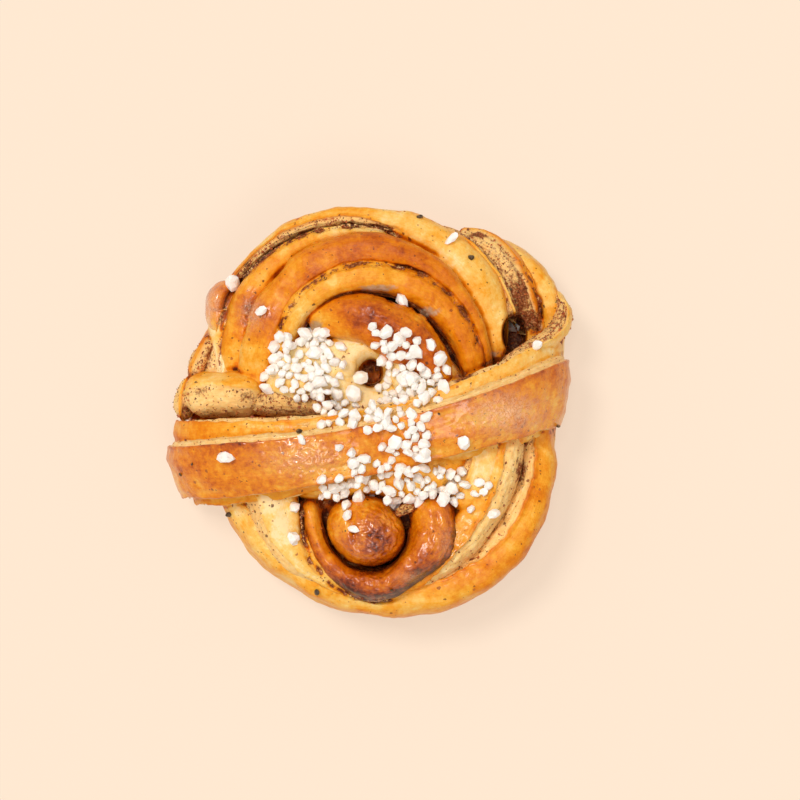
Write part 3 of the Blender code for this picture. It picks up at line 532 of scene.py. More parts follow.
WRINKLE_PATCHES = (
    (-17, -13, 13, 5, 0.3), (35, -1, 11, 6, 0.16), (8, 25, 14, 6, 0.24), (1.5, -33, 6.6, 6, 0.5),
    (0, -46, 9, 3, 0.26), (-32, 26, 4, 4, 0.45), (20, -36, 6, 7, 0.28),
)

# Sugar grains: patches as (x, y, half length, half width, grains)
SUGAR_SEED = 11
GRAIN_RADIUS = (1.4, 2.0)
GRAIN_SINK = 0.42
GRAIN_SPACING = 1.12
SUGAR_PATCHES = (
    (-14, 11.6, 11.5, 8.6, 14), (11, 10.2, 9.5, 11, 12), (2, -5, 12.5, 8, 6),
    (8.5, -21.5, 21, 4.6, 11),
)
SINGLE_GRAINS = (
    (9.2, 30.4), (40.2, 23.1), (44.6, 17.4), (-38.1, 34), (-20.7, -34.3), (-27, 5.6),
    (-38.1, -12.2), (25, -7.6),
)
# The smaller grains between them, heaped where they lie closest
FINE_SUGAR_SEED = 23
FINE_GRAIN_RADIUS = (1.0, 1.9)
FINE_GRAIN_APART = 0.72
FINE_SUGAR_PATCHES = (
    (-18, 13.6, 6.4, 7, 40), (-11.5, 12.4, 3.8, 5, 16), (-14, 6.4, 5, 2.6, 10),
    (-8.2, 0.4, 5.2, 3.8, 16), (3.8, 19.4, 2.6, 3, 7), (7.6, 12, 4.4, 8.4, 56),
    (14, 7.4, 5.6, 4.4, 28), (4, -1.6, 4.4, 3.4, 12), (12, -5.4, 2.8, 5.4, 12),
    (7, -10.4, 1.8, 3, 5), (-2.8, -15.6, 1.6, 2.8, 5), (5.4, -18.6, 3.4, 4.6, 16),
    (16.6, -19.8, 8, 4, 42), (-5.6, -20.6, 6.6, 2.6, 16), (29.6, -21.4, 3, 2.2, 4),
)
FINE_SINGLE_GRAINS = (
    (-20.7, -25.8), (-26, 10.9), (-27.6, 9.2), (33.2, -27.5), (27.5, -26.4), (-6, -26),
    (-6.2, -28.4), (-18, -7.6), (-8, -9.6), (14.2, -12),
)
# Single slivers of sugar, longer and thinner than the grains
SUGAR_SLIVERS = ((21.8, 46.2), (-28.8, 27.2), (-4.2, -31.5))
LARGE_TRIES = 40
FINE_TRIES = 30
HEAP_SPREAD = 0.52
HEAP_EDGE = 1.1
# How near two grains' middles come as a share of their radii, and how steeply they heap
GRAINS_TOUCH = 0.86
HEAP_RISE = 0.8
PLUMB_HEIGHT = 80.0
GRAIN_POINTS = 24
GRAIN_PLANES = 5
GRAIN_FLATS = (0.55, 0.85)
GRAIN_JITTER = 0.06
# A plane that a grain's point faces less than this doesn't reach it, and counts as far out
LEAST_FACING = 0.05
FAR_OUT = 9.0
# The least and the most by which a grain is stretched along its own three directions
GRAIN_STRETCH = (0.7, 1.3)
SLIVER_STRETCH = ((0.42, 0.5, 0.95), (0.55, 0.7, 1.2))
BIT_STRETCH = ((0.5, 0.7, 0.9), (0.7, 1.0, 1.3))
GRAIN_FULLNESS = 1.0
HIGHEST_GRAIN = 51.0

# Crumbs of cinnamon all over, and single bits of cardamom as (x, y, radius)
CRUMB_SEED = 31
CRUMBS = 6400
CRUMB_RADIUS = (0.13, 0.32)
# Most crumbs are of the first size and a few of the second
CRUMB_SIZES = (1.0, 1.7)
CRUMB_SHARES = (0.92, 0.08)
CRUMB_STRETCH = (0.6, 1.3)
CRUMB_JITTER = 0.12
CRUMB_RAISE = 0.3
# The least and the most chance of a crumb, by the cinnamon mark above that of clean dough
CRUMB_CHANCES = (0.005, 0.75)
CRUMB_CONTRAST = 1.6
CRUMBS_BELOW_TOP = 1.2
LOWEST_CRUMB = 2.0
OUTER_WALL_RADIUS = 46.0
SPICE_BITS = (
    (27.2, 41.3, 0.9), (13.4, 52.2, 0.7), (-18.8, -5.7, 0.8), (18.5, -0.6, 0.5), (50.6, -4, 0.6),
    (-14.2, -48.8, 0.9), (-38, -28, 0.9), (-47.6, -14.2, 0.4), (-51, -17, 0.5), (6, -48, 0.5),
    (38, 33, 0.6),
)

# The camera, in metres: how far it stands above the height where the picture is so wide
CAMERA_DISTANCE = 1.4
SEEN_HEIGHT = 0.02
SEEN_WIDTH = 0.2176
SEEN_MIDDLE = (8.16 * MILLIMETRE + 0.0003, 2.99 * MILLIMETRE - 0.00057)
SENSOR_WIDTH = 36.0
FLOOR_HALF = 2.0
FLOOR_HEIGHT = -0.0002
# Lamps as (energy, angle across in degrees, way towards them), and the glow all round
LAMPS = {
    "soft lamp": (1.5, 16, (-0.34, 0.32, 1.0)),
    "fill lamp": (0.62, 26, (0.1, -0.5, 1.0)),
    "small lamp": (0.28, 5, (-0.08, 0.14, 1.0)),
}
LAMP_COLOUR = (1.0, 0.97, 0.95)
GLOW = 0.5

# The dough's noises as (size in millimetres, detail, roughness)
DOUGH_WAVES = dict(
    broad=(7, 3), mottle=(1.7, 4, 0.62), fine=(0.5, 2), clusters=(2.6, 2), net=(1.2, 3, 0.6),
)
STREAK_WAVE = (1, 4, 0.65)
STREAK_STRETCH = (0.22, 1.1, 1)
FILLING_WAVES = dict(mottle=(0.8, 3, 0.6), fine=(0.4, 2))
# Weights of noises and marks in the tones, in the roughness and in the height of the bumps
CRUST_WEIGHTS = dict(broad=0.62, mottle=0.44, streak=0.22, fine=0.16, glazed=0.5)
CRUMB_WEIGHTS = dict(mottle=0.8, streak=0.45)
MELT_WEIGHTS = dict(off_middle=0.8)
SMEAR_WEIGHTS = dict(fine=0.45, mottle=0.55)
SMEARED_WEIGHTS = dict(off_middle=1.3)
ROUGHNESS_WEIGHTS = dict(cut=0.3, gloss=-0.14, mottle=0.16)
BUMP_WEIGHTS = dict(ridges=-2.6, fine_cut=0.6, streak=0.4)
SPREAD_WEIGHTS = dict(fine=0.4, mottle=0.6)
BARE_WEIGHTS = dict(off_middle=1.6)
# What is taken off the tones of the crust and the crumb
CRUST_PALER = 0.72
CRUMB_PALER = 0.08
# Where one look gives way to another: from, to and for some the values at both
MELT_EDGE = (0.45, 0.8)
SMEARED_EDGE = (0.68, 0.94)
BARE_EDGE = (0.4, 0.6)
CLUSTER_EDGE = (0.4, 0.6, 0.2, 1.6)
# The painted highlight follows the mottle and the net of ridges
PAINTED_HIGHLIGHT_MOTTLE = (0.36, 0.6, 0.5, 1)
PAINTED_HIGHLIGHT_RIDGES = (0, 0.06, 0.2, 0.95)
GRAIN_EDGE = (0, 0.08)
# How far specks reach in their cells: the part that is drawn and the least
GRAIN_REACH = (0.26, 0.12)
SPECK_SHAKE = (0.6, 0.7)
# Specks as (size of their cells, share of the cinnamon mark)
SPECK_SIZES = ((0.85, 0.85), (1.6, 0.62))
SPECK_COVER = 0.82
MELT_COVER = 0.8
GLAZE_COAT = 0.8
CRUST_ROUGHNESS = 0.28
SPICE_ROUGHNESS = 0.6
SUGAR_MOTTLE = 1.2
SUGAR_GRAIN = 0.3
CINNAMON_MOTTLE = 2.0
CARDAMOM_MOTTLE = 0.8
# Bumps as (height in millimetres, strength)
DOUGH_BUMP = (0.24, 1)
FILLING_BUMP = (0.25, 0.9)
SUGAR_BUMP = (0.06, 0.6)
DOUGH_SHADER = {
    "Specular IOR Level": 0.22, "Coat Roughness": 0.16, "Coat IOR": 1.8,
    "Subsurface Weight": 0.12, "Subsurface Radius": (1.0, 0.42, 0.14),
    "Subsurface Scale": 1.6 * MILLIMETRE,
}
FILLING_SHADER = {"Roughness": 0.45}
SUGAR_SHADER = {
    "Roughness": 0.45, "Subsurface Weight": 0.25, "Subsurface Radius": (0.6, 0.5, 0.4),
    "Subsurface Scale": 1.4 * MILLIMETRE,
}
FLOOR_SHADER = {"Roughness": 0.9, "Specular IOR Level": 0.0, "Emission Strength": 2.0}

# Colours, red green blue from 0 to 255 as seen
CRUST_STEPS = (
    (0, (250, 222, 164)), (0.16, (246, 198, 104)), (0.34, (240, 166, 44)), (0.5, (228, 134, 8)),
    (0.66, (206, 104, 2)), (0.8, (170, 72, 2)), (0.92, (120, 42, 2)), (1, (74, 26, 4)),
)
CRUMB_STEPS = ((0.25, (216, 156, 86)), (0.5, (244, 196, 118)), (0.8, (254, 224, 160)))
CINNAMON_STEPS = (
    (0.34, (58, 26, 10)), (0.46, (108, 52, 20)), (0.55, (156, 88, 42)), (0.66, (212, 156, 104)),
)
MELT_STEPS = ((0.3, (150, 116, 84)), (0.7, (206, 182, 154)))
SPECK_STEPS = ((0.1, (78, 32, 12)), (0.5, (132, 58, 20)), (0.9, (178, 94, 40)))
# The pale pink of the painted highlight
PAINTED_HIGHLIGHT_COLOUR = (255, 196, 142)
SUGAR_STEPS = ((0.3, (250, 240, 228)), (0.7, (255, 250, 242)))
SPICE_STEPS = ((0.35, (96, 44, 18)), (0.48, (158, 72, 28)), (0.62, (196, 104, 44)))
CARDAMOM_STEPS = ((0.35, (56, 40, 24)), (0.55, (88, 66, 38)), (0.7, (134, 102, 60)))
FLOOR_COLOUR = (152, 139, 125)


def along(values, t):
    """A smooth curve through evenly spaced values, read at t from 0 to 1. Between two values
    it is the cubic that meets both and leaves each with the slope of its neighbours.
    """
    values = np.atleast_1d(np.asarray(values, float))
    if len(values) == 1:
        return np.full_like(t, values[0])
    if len(values) == 2:
        return values[0] + (values[1] - values[0]) * t
    first = 2 * values[0] - values[1]
    last = 2 * values[-1] - values[-2]
    padded = np.concatenate([[first], values, [last]])
    place = t * (len(values) - 1)
    step = np.clip(np.floor(place).astype(int), 0, len(values) - 2)
    f = place - step
    before, here, after, beyond = (padded[step + k] for k in range(4))
    slope = (after - before) * f
    bend = (2 * before - 5 * here + 4 * after - beyond) * f**2
    twist = (3 * here - before - 3 * after + beyond) * f**3
    return 0.5 * (2 * here + slope + bend + twist)


def unit(vectors):
    """Vectors divided by their own length."""
    return vectors / np.maximum(np.linalg.norm(vectors, axis=-1, keepdims=True), 1e-9)


def soft_step(low, high, value):
    """0 below low, 1 above high and between them three times the square less twice the cube."""
    share = np.clip((value - low) / (high - low), 0, 1)
    return share * share * (3 - 2 * share)


def bell(distance, reach):
    """1 at no distance, falling as e to the minus square of distance over reach."""
    return np.exp(-((distance / reach) ** 2))


def noise(places, size, seed):
    """Smooth noise from about -1 to 1 with waves of a size: at each corner of a cubic lattice
    a random slope rises away from the corner, and the eight slopes are blended.
    """
    draw = np.random.RandomState(seed)
    slopes = unit(draw.normal(size=(NOISE_SLOPES, 3)))
    place = places / size + draw.uniform(0, NOISE_SHIFT, 3)
    cell = np.floor(place).astype(np.int64)
    inside = place - cell
    blend = inside * inside * inside * (inside * (inside * 6 - 15) + 10)
    total = np.zeros(places.shape[:-1])
    for corner in itertools.product((0, 1), repeat=3):
        corner = np.array(corner)
        key = (cell + corner) @ np.array(NOISE_PRIMES)
        slope = slopes[(key ^ (key >> NOISE_FOLD)) & (NOISE_SLOPES - 1)]
        rise = ((inside - corner) * slope).sum(axis=-1)
        total += rise * np.where(corner, blend, 1 - blend).prod(axis=-1)
    return total * NOISE_GAIN


def waved(places, middle, *noises):
    """A middle value plus noises, each as its height, size and seed."""
    total = middle
    for height, size, seed in noises:
        total = total + height * noise(places, size, seed)
    return total


def patch_strength(places, patches):
    """The sum of soft oval bells laid over the bun as seen from above."""
    total = np.zeros(places.shape[:-1])
    for x, y, half_length, half_width, strength in patches:
        across = (places[..., 0] - x) / half_length
        upward = (places[..., 1] - y) / half_width
        total += strength * np.exp(-(across**2) - upward**2)
    return total


def stations(length, rounding):
    """Places along a strand from 0 to 1, closer in its rounded ends, and the taper there: in an
    end the place follows one less a sine and the taper a cosine, so the end is round.
    """
    t = np.linspace(0, 1, max(FEWEST_STATIONS, round(length / GRID_STEP)))
    if rounding == 0:
        return t, np.ones_like(t)
    end = np.minimum(t, 1 - t)
    inside = np.clip(1 - end / rounding, 0, 1)
    near = rounding * (1 - np.sin(inside * math.pi / 2))
    t = np.where(inside > 0, np.where(t < 0.5, near, 1 - near), t)
    return t, np.cos(inside * math.pi / 2)


def section_angles(girth):
    """Angles round a section in degrees from -90 to 270, closer together over the top: each is
    an even angle plus a cosine of it.
    """
    count = max(FEWEST_SIDES, round(girth / GRID_STEP))
    even = (np.arange(count) / count - 0.25) * 2 * math.pi
    return np.degrees(even + TOP_DENSITY * np.cos(even))


def sweep(strand, angles, power):
    """Sections set square to a path. A section is an oval whose reach at an angle is one over
    the power-th root of cosine and sine to that power, scaled by its half width and height.
    """
    path = strand["path"]
    ahead = unit(strand["ahead"] if "ahead" in strand else np.gradient(path, axis=0))
    across = unit(np.cross(ahead, strand["lift"]))
    upward = unit(np.cross(across, ahead))
    lean = np.radians(strand["lean"])[:, None]
    side_way = np.cos(lean) * across + np.sin(lean) * upward
    top_way = np.cos(lean) * upward - np.sin(lean) * across
    turn = np.radians(angles)
    cosine, sine = np.cos(turn), np.sin(turn)
    reach = (np.abs(cosine) ** power + np.abs(sine) ** power) ** (-1 / power)
    sideways = strand["half_width"][:, None] * (reach * cosine)
    upwards = strand["half_height"][:, None] * (reach * sine)
    return (
        path[:, None]
        + sideways[..., None] * side_way[:, None]
        + upwards[..., None] * top_way[:, None]
    )


def polar_path(angle, radius, middle, centre):
    """Places at an angle and a radius about a centre, at their middle heights."""
    return np.stack(
        [centre[0] + radius * np.cos(angle), centre[1] + radius * np.sin(angle), middle], axis=1
    )


def make_strand(path, t, taper, half_width, half_height, lean=0.0, **more):
    """A strand along any path, with one section or one that changes. Its length is its path's
    and its sections stand upright, unless more says otherwise.
    """
    return {
        "t": t,
        "length": float(np.linalg.norm(np.diff(path, axis=0), axis=1).sum()),
        "path": path,
        "lift": np.tile(UPWARD, (len(t), 1)),
        "half_width": half_width * taper,
        "half_height": half_height * taper,
        "lean": lean + np.zeros(len(t)),
        "taper": taper,
        **more,
    }


def turn_strand(turn, centre=(0.0, 0.0)):
    """One turn wound about a centre: an arc whose radius, height and section change along it."""
    start, end = np.radians(turn["angles"])
    length = abs(end - start) * float(np.mean(turn["radius"]))
    t, taper = stations(length, END_ROUNDING)
    radius, half_width, crest, half_height, lean = (
        along(turn[key], t) for key in ("radius", "half_width", "crest", "half_height", "lean")
    )
    path = polar_path(start + (end - start) * t, radius, crest - half_height, centre)
    return make_strand(path, t, taper, half_width, half_height, lean, length=length)


def ring_strand(radius, half_width, half_height, middle, centre, tilt):
    """A closed turn: a circle whose radius changes smoothly round it, tilted by a sine."""
    length = 2 * math.pi * float(np.mean(radius))
    t = np.arange(round(length / GRID_STEP)) / round(length / GRID_STEP)
    wrapped = np.concatenate([radius[-2:], radius, radius[:3]])
    first = 2 / (len(wrapped) - 1)
    share = len(radius) / (len(wrapped) - 1)
    angle = 2 * math.pi * t
    path = polar_path(angle, along(wrapped, first + share * t), middle + tilt * np.sin(angle), centre)
    ahead = np.stack([-np.sin(angle), np.cos(angle), np.zeros_like(angle)], axis=1)
    even = np.ones(len(t))
    return make_strand(path, t, even, half_width, half_height, length=length, ahead=ahead, closed=True)


def ball_strand():
    """The ball: a short fat strand, round-ended, with a slight curl like one wave of a sine."""
    x, y = BALL["centre"]
    long_radius, wide_radius, tall_radius = BALL["radius"]
    t, taper = stations(BALL_FINENESS * long_radius, 0.5)
    east = x + BALL["shift"] + (2 * t - 1) * long_radius
    north = y + BALL["curl"] * np.sin(2 * math.pi * t)
    path = np.stack([east, north, np.full_like(t, BALL["middle"])], axis=1)
    return make_strand(path, t, taper, wide_radius, tall_radius)


def bridge_strand():
    """The chunk beside the ball: a short round strand between two places."""
    start = np.array(BALL_BRIDGE["from"])
    end = np.array(BALL_BRIDGE["to"])
    t, taper = stations(BRIDGE_FINENESS * float(np.linalg.norm(end - start)), BRIDGE_ROUNDING)
    path = start + (end - start) * t[:, None]
    return make_strand(path, t, taper, BALL_BRIDGE["half"], BALL_BRIDGE["half"])


def free_strand(turn):
    """A short turn through its own places, whose height and section change along it."""
    length = float(np.hypot(np.diff(turn["x"]), np.diff(turn["y"])).sum())
    t, taper = stations(FREE_FINENESS * length, turn["rounding"])
    x, y, half_width, crest, half_height, lean = (
        along(turn[key], t) for key in ("x", "y", "half_width", "crest", "half_height", "lean")
    )
    path = np.stack([x, y, crest - half_height], axis=1)
    return make_strand(path, t, taper, half_width, half_height, lean)


def strap_frame(t, step):
    """Places and outward directions along the strap's loop, step layers in from the top one: a
    flattened oval in the XZ plane whose Y follows a gentle bend.
    """
    start, end = np.radians(STRAP["angles"])
    angle = start + (end - start) * t
    inward = step * STRAP["layer_step"]
    across = np.sign(np.cos(angle)) * np.abs(np.cos(angle)) ** (2 / STRAP["loop_power"])
    upward = np.sign(np.sin(angle)) * np.abs(np.sin(angle)) ** (2 / STRAP["loop_power"])
    x = (STRAP["half_length"] - step * STRAP["end_step"]) * across
    rise = np.where(upward > 0, STRAP["top_rise"] - inward, STRAP["bottom_drop"] - inward)
    z = STRAP["loop_middle"] + rise * upward
    for place, spread, height in STRAP_BULGES:
        z = z + height * np.exp(-(((x - place) / spread) ** 2)) * (upward > 0)
    base, slope, bend = STRAP["path_y"]
    y = base + slope * x + bend * x**2
    path = np.stack([x, y, z], axis=1)
    outward = unit(np.stack([across * STRAP["flatness"], np.zeros_like(x), upward], axis=1))
    return path, outward


def strap_strand(layer, t, taper, half_width, half_height):
    """A band along the strap's loop, shifted sideways and rolled a little."""
    path, outward = strap_frame(t, layer["step"])
    across = unit(np.cross(unit(np.gradient(path, axis=0)), outward))
    path = path + across * along(layer["shift"], t)[:, None]
    roll = along(STRAP["roll"], t)
    return make_strand(path, t, taper, half_width, half_height, roll, lift=outward)


def even_strap_stations(step):
    """Places along the strap's loop that are evenly far apart, since its angle isn't."""
    dense = np.linspace(0, 1, DENSE_STATIONS)
    path, _ = strap_frame(dense, step)
    lengths = np.concatenate([[0.0], np.cumsum(np.linalg.norm(np.diff(path, axis=0), axis=1))])
    t, taper = stations(lengths[-1], END_ROUNDING)
    return np.interp(t * lengths[-1], lengths, dense), taper


def grid_normals(places, closed):
    """Outward directions of a grid: the cross product of its steps along and around."""
    if closed:
        onward = np.roll(places, -1, axis=0) - np.roll(places, 1, axis=0)
    else:
        onward = np.gradient(places, axis=0)
    around = np.roll(places, -1, axis=1) - np.roll(places, 1, axis=1)
    return unit(np.cross(onward, around))


def slot_nearness(places):
    """How near each place is to the middle of a slot for filling, seen from above: 1 in the
    slot, falling to 0 at its edge, with the slot's own ends rounded off. Noise sways the slots
    and breaks them up.
    """
    nearest = np.zeros(places.shape[:-1])
    sway = waved(places, *SLOT_SWAY)
    for ribbon in UPRIGHT_RIBBONS.values():
        start, end = ribbon["angles"]
        x = places[..., 0] - ribbon["centre"][0]
        y = places[..., 1] - ribbon["centre"][1]
        angle = np.degrees(np.arctan2(y, x))
        angle = np.where(angle < start - TURN_MARGIN, angle + 360, angle)
        t = (angle - start) / (end - start)
        off_line = np.hypot(x, y) - along(ribbon["radius"], np.clip(t, 0, 1))
        distance = np.abs(off_line + sway) / SLOT_HALF_WIDTH
        inside = soft_step(*SLOT_ENDS, t - ribbon["opens"]) * soft_step(*SLOT_ENDS, 1 - t)
        nearest = np.maximum(nearest, inside * (1 - soft_step(*SLOT_EDGE, distance)))
    return nearest * np.clip(waved(places, *SLOT_WHOLE), 0, 1)


def uneven(strand, seed):
    """A strand whose width and height wander by slow noise along it, as hand-tied dough does."""
    path = strand["path"]
    width = 1 + UNEVEN_WIDTH * noise(path, UNEVEN_WIDTH_SIZE, seed + 11)
    rise = UNEVEN_HEIGHT * noise(path, UNEVEN_HEIGHT_SIZE, seed + 12) * strand["taper"]
    path = path + strand["lift"] * rise[:, None]
    return {**strand, "path": path, "half_width": strand["half_width"] * width}


def strand_waves(places, on_strand, seed):
    """The noises that a strand's form and browning are made of, by their names. Seams and
    creases are thin lines: bells where their noise is near nothing.
    """
    waves = {key: noise(places, size, seed + number) for key, (size, number) in PLACE_WAVES.items()}
    for key, (size, number, onward, around) in STRAND_WAVES.items():
        waves[key] = noise(on_strand * np.array([onward, around, 1.0]), size, seed + number)
    for key, width in LINE_WIDTHS.items():
        waves[key] = bell(waves[key], width)
    return waves


def weighed(waves, weights, *keys):
    """The sum of the named waves, each times its weight."""
    return sum(weights[key] * waves[key] for key in keys)


def shape(name, strand, power, floor=None):
    """A dough strand's form. Relief is added along the surface's outward direction: lumps,
    ripples, a lip at the crust's edges, grooves, wrinkles and the crumb of the cut sides,
    which lie a little deeper. Slots for filling, dents and hollows are sunk straight down.
    """
    look = {**PLAIN_LOOK, **LOOKS[name]}
    seed = sum(ord(letter) for letter in name)
    if name in TURNS or name == "curled_turn":
        strand = uneven(strand, seed)
    closed = strand.get("closed", False)
    girth = 4 * float(np.max(strand["half_width"]) + np.max(strand["half_height"]))
    angles = section_angles(girth * SECTION_FINENESS)
    places = sweep(strand, angles, power)
    normals = grid_normals(places, closed)
    t = strand["t"][:, None] + np.zeros_like(angles)
    around = angles + np.zeros_like(t)
    arc = strand["length"] * t
    girth_place = np.radians(around) * float(np.mean(strand["half_width"])) + SKEW * arc
    on_strand = np.stack([arc, girth_place, np.full_like(arc, MAPS_APART * (seed % MAPS))], axis=-1)
    waves = strand_waves(places, on_strand, seed)

    wobble = look["waver"] * weighed(waves, EDGE_WEIGHTS, "bend", "tremble")
    crust_from = along(look["crust_from"], t) + wobble
    crust_to = along(look["crust_to"], t) + wobble
    crust = soft_step(*CRUST_EDGE, around - crust_from) * soft_step(*CRUST_EDGE, crust_to - around)
    share = np.clip((around - crust_from) / (crust_to - crust_from), 0, 1)
    cut = 1 - crust

    wrinkles = noise(places * np.array(WRINKLE_STRETCH), WRINKLE_SIZE, seed + 6)
    wrinkles = 1 - WRINKLE_SHARPNESS * np.abs(wrinkles)
    wrinkled = np.clip(patch_strength(places, WRINKLE_PATCHES), 0, 0.5) * crust
    relief = weighed(waves, RELIEF, "wide", "medium", "ripple")
    relief += crust * weighed(waves, RELIEF, "folds", "drag", "creased")
    layered = look["layered"] * weighed(waves, RELIEF, "layers", "seams")
    relief += cut * (weighed(waves, RELIEF, "grain") + layered - CUT_DEPTH)
    inward, width, height = LIP
    lip = bell(around - crust_to + inward, width) * (np.ravel(look["crust_to"])[0] < LIP_LIMITS[1])
    lip += bell(around - crust_from - inward, width) * (np.ravel(look["crust_from"])[0] > LIP_LIMITS[0])
    outward, dip_width, depth = UNDER_LIP
    dip = bell(around - crust_to - outward, dip_width) + bell(around - crust_from + outward, dip_width)
    relief += height * lip + WRINKLE_HEIGHT * wrinkled * wrinkles - depth * cut * dip
    lines = SEAM_CINNAMON * cut * waves["seams"] * look["layered"]
    for angle, width, depth, specks in look["grooves"]:
        groove = bell(around - angle - GROOVE_WAVER * wobble, width)
        relief -= depth * groove
        lines = np.maximum(lines, specks * groove)
    places = places + normals * (relief * np.sqrt(strand["taper"])[:, None])[..., None]
    slot = slot_nearness(places)
    facing_up = soft_step(*SINKING, normals[..., 2])
    places[..., 2] -= (SLOT_DEPTH * slot + patch_strength(places, DENTS)) * facing_up
    shares = {}
    for key, hollow in HOLLOWS.items():
        sinks = (normals[..., 2] > 0) * (places[..., 2] > hollow["floor"])
        shares[key] = hollow_share(places, hollow) * sinks * (name not in HOLLOW_FREE)
    for key, sunk in shares.items():
        places[..., 2] -= HOLLOWS[key]["depth"] * sunk
    if floor is not None:
        places[..., 2] = np.maximum(places[..., 2], floor)

    tone = along(look["tone"], t) + along(look["across"], share)
    tone += weighed(waves, TONE_WEIGHTS, *TONE_WEIGHTS)
    outside = around < crust_from
    specks = np.where(outside, along(look["specks_outside"], t), along(look["specks_inside"], t))
    inner = soft_step(*DARK_EDGE, around - look["dark_from"])
    outer = soft_step(*DARK_EDGE, look["dark_below"] - around)
    broken = np.clip(waved(places, 0.72, (0.7, 3, seed + 15)), 0, 1)
    speckled = cut * specks * SPECK_CINNAMON + CLEAN_CINNAMON
    cinnamon = np.maximum(speckled, np.maximum(inner, outer) * broken)
    cinnamon = np.maximum(np.maximum(cinnamon, lines), np.clip(slot * SLOT_CINNAMON, 0, 1))
    # Painted shade: inside a hollow the dough takes the hollow's dark bake and cinnamon, besides browned
    # dough and filling
    for key, sunk in shares.items():
        inside = soft_step(0.0, 0.5, sunk)
        tone += (HOLLOWS[key]["bake"] - tone) * inside
        cinnamon += (HOLLOWS[key]["cinnamon"] - cinnamon) * inside
    return {
        "name": name, "closed": closed, "length": strand["length"], "girth": girth,
        "places": places, "facing_up": grid_normals(places, closed)[..., 2],
        "crust": crust, "tone": tone, "lip": lip, "cinnamon": cinnamon,
        "gloss": look["gloss"], "crease": look["crease"],
    }


def hollow_share(places, hollow):
    """The share of its depth by which a hollow sinks a place: all of it inside an oval, falling
    to nothing at its rim.
    """
    x, y = hollow["centre"]
    half_length, half_width = hollow["half_size"]
    reach = np.hypot((places[..., 0] - x) / half_length, (places[..., 1] - y) / half_width)
    return 1 - soft_step(*HOLLOW_RIM, reach)


def height_field(shapes):
    """The bun's highest place over each cell of a square net seen from above, with single
    empty cells filled from their neighbours.
    """
    side = 2 * round(FIELD_HALF / FIELD_CELL) + 1
    field = np.zeros((side, side))
    for part in shapes:
        rows = np.concatenate([part["places"], part["facing_up"][..., None]], axis=-1)
        halves = [rows, (rows + np.roll(rows, -1, axis=1)) / 2]
        halves += [(half[:-1] + half[1:]) / 2 for half in halves]
        points = np.concatenate([half.reshape(-1, 4) for half in halves])
        points = points[points[:, 3] > LEAST_FACING_UP]
        cells = np.clip(np.round((points[:, :2] + FIELD_HALF) / FIELD_CELL).astype(int), 0, side - 1)
        np.maximum.at(field, (cells[:, 0], cells[:, 1]), points[:, 2])
    for axis in (0, 1):
        beside = np.minimum(np.roll(field, 1, axis), np.roll(field, -1, axis))
        field = np.where(field < beside - EMPTY_DROP, beside, field)
    return field


def crease_field(field, reaches):
    """How deep each cell lies between higher ground on two opposite sides: over all directions
    and a few distances, the most that the lower of the two sides stands above it. The result
    is half a cell's own depth and an eighth of each of its four neighbours'.
    """
    deepest = np.zeros_like(field)
    for reach in reaches:
        for turn in np.arange(CREASE_WAYS) / CREASE_WAYS * math.pi:
            step = np.round(reach / FIELD_CELL * np.array([math.cos(turn), math.sin(turn)])).astype(int)
            one = np.roll(field, step, axis=(0, 1))
            other = np.roll(field, -step, axis=(0, 1))
            deepest = np.maximum(deepest, np.minimum(one, other) - field)
    blurred = sum(np.roll(deepest, step, axis) for axis in (0, 1) for step in (-1, 1))
    return 0.5 * deepest + 0.125 * blurred


def read_field(field, places):
    """A field's value at places, blended between the four cells round each."""
    place = np.clip((places[..., :2] + FIELD_HALF) / FIELD_CELL, 0, len(field) - 1.001)
    cell = np.floor(place).astype(int)
    share = place - cell
    i, j = cell[..., 0], cell[..., 1]
    across, upward = share[..., 0], share[..., 1]
    near = field[i, j] * (1 - upward) + field[i, j + 1] * upward
    far = field[i + 1, j] * (1 - upward) + field[i + 1, j + 1] * upward
    return near * (1 - across) + far * across


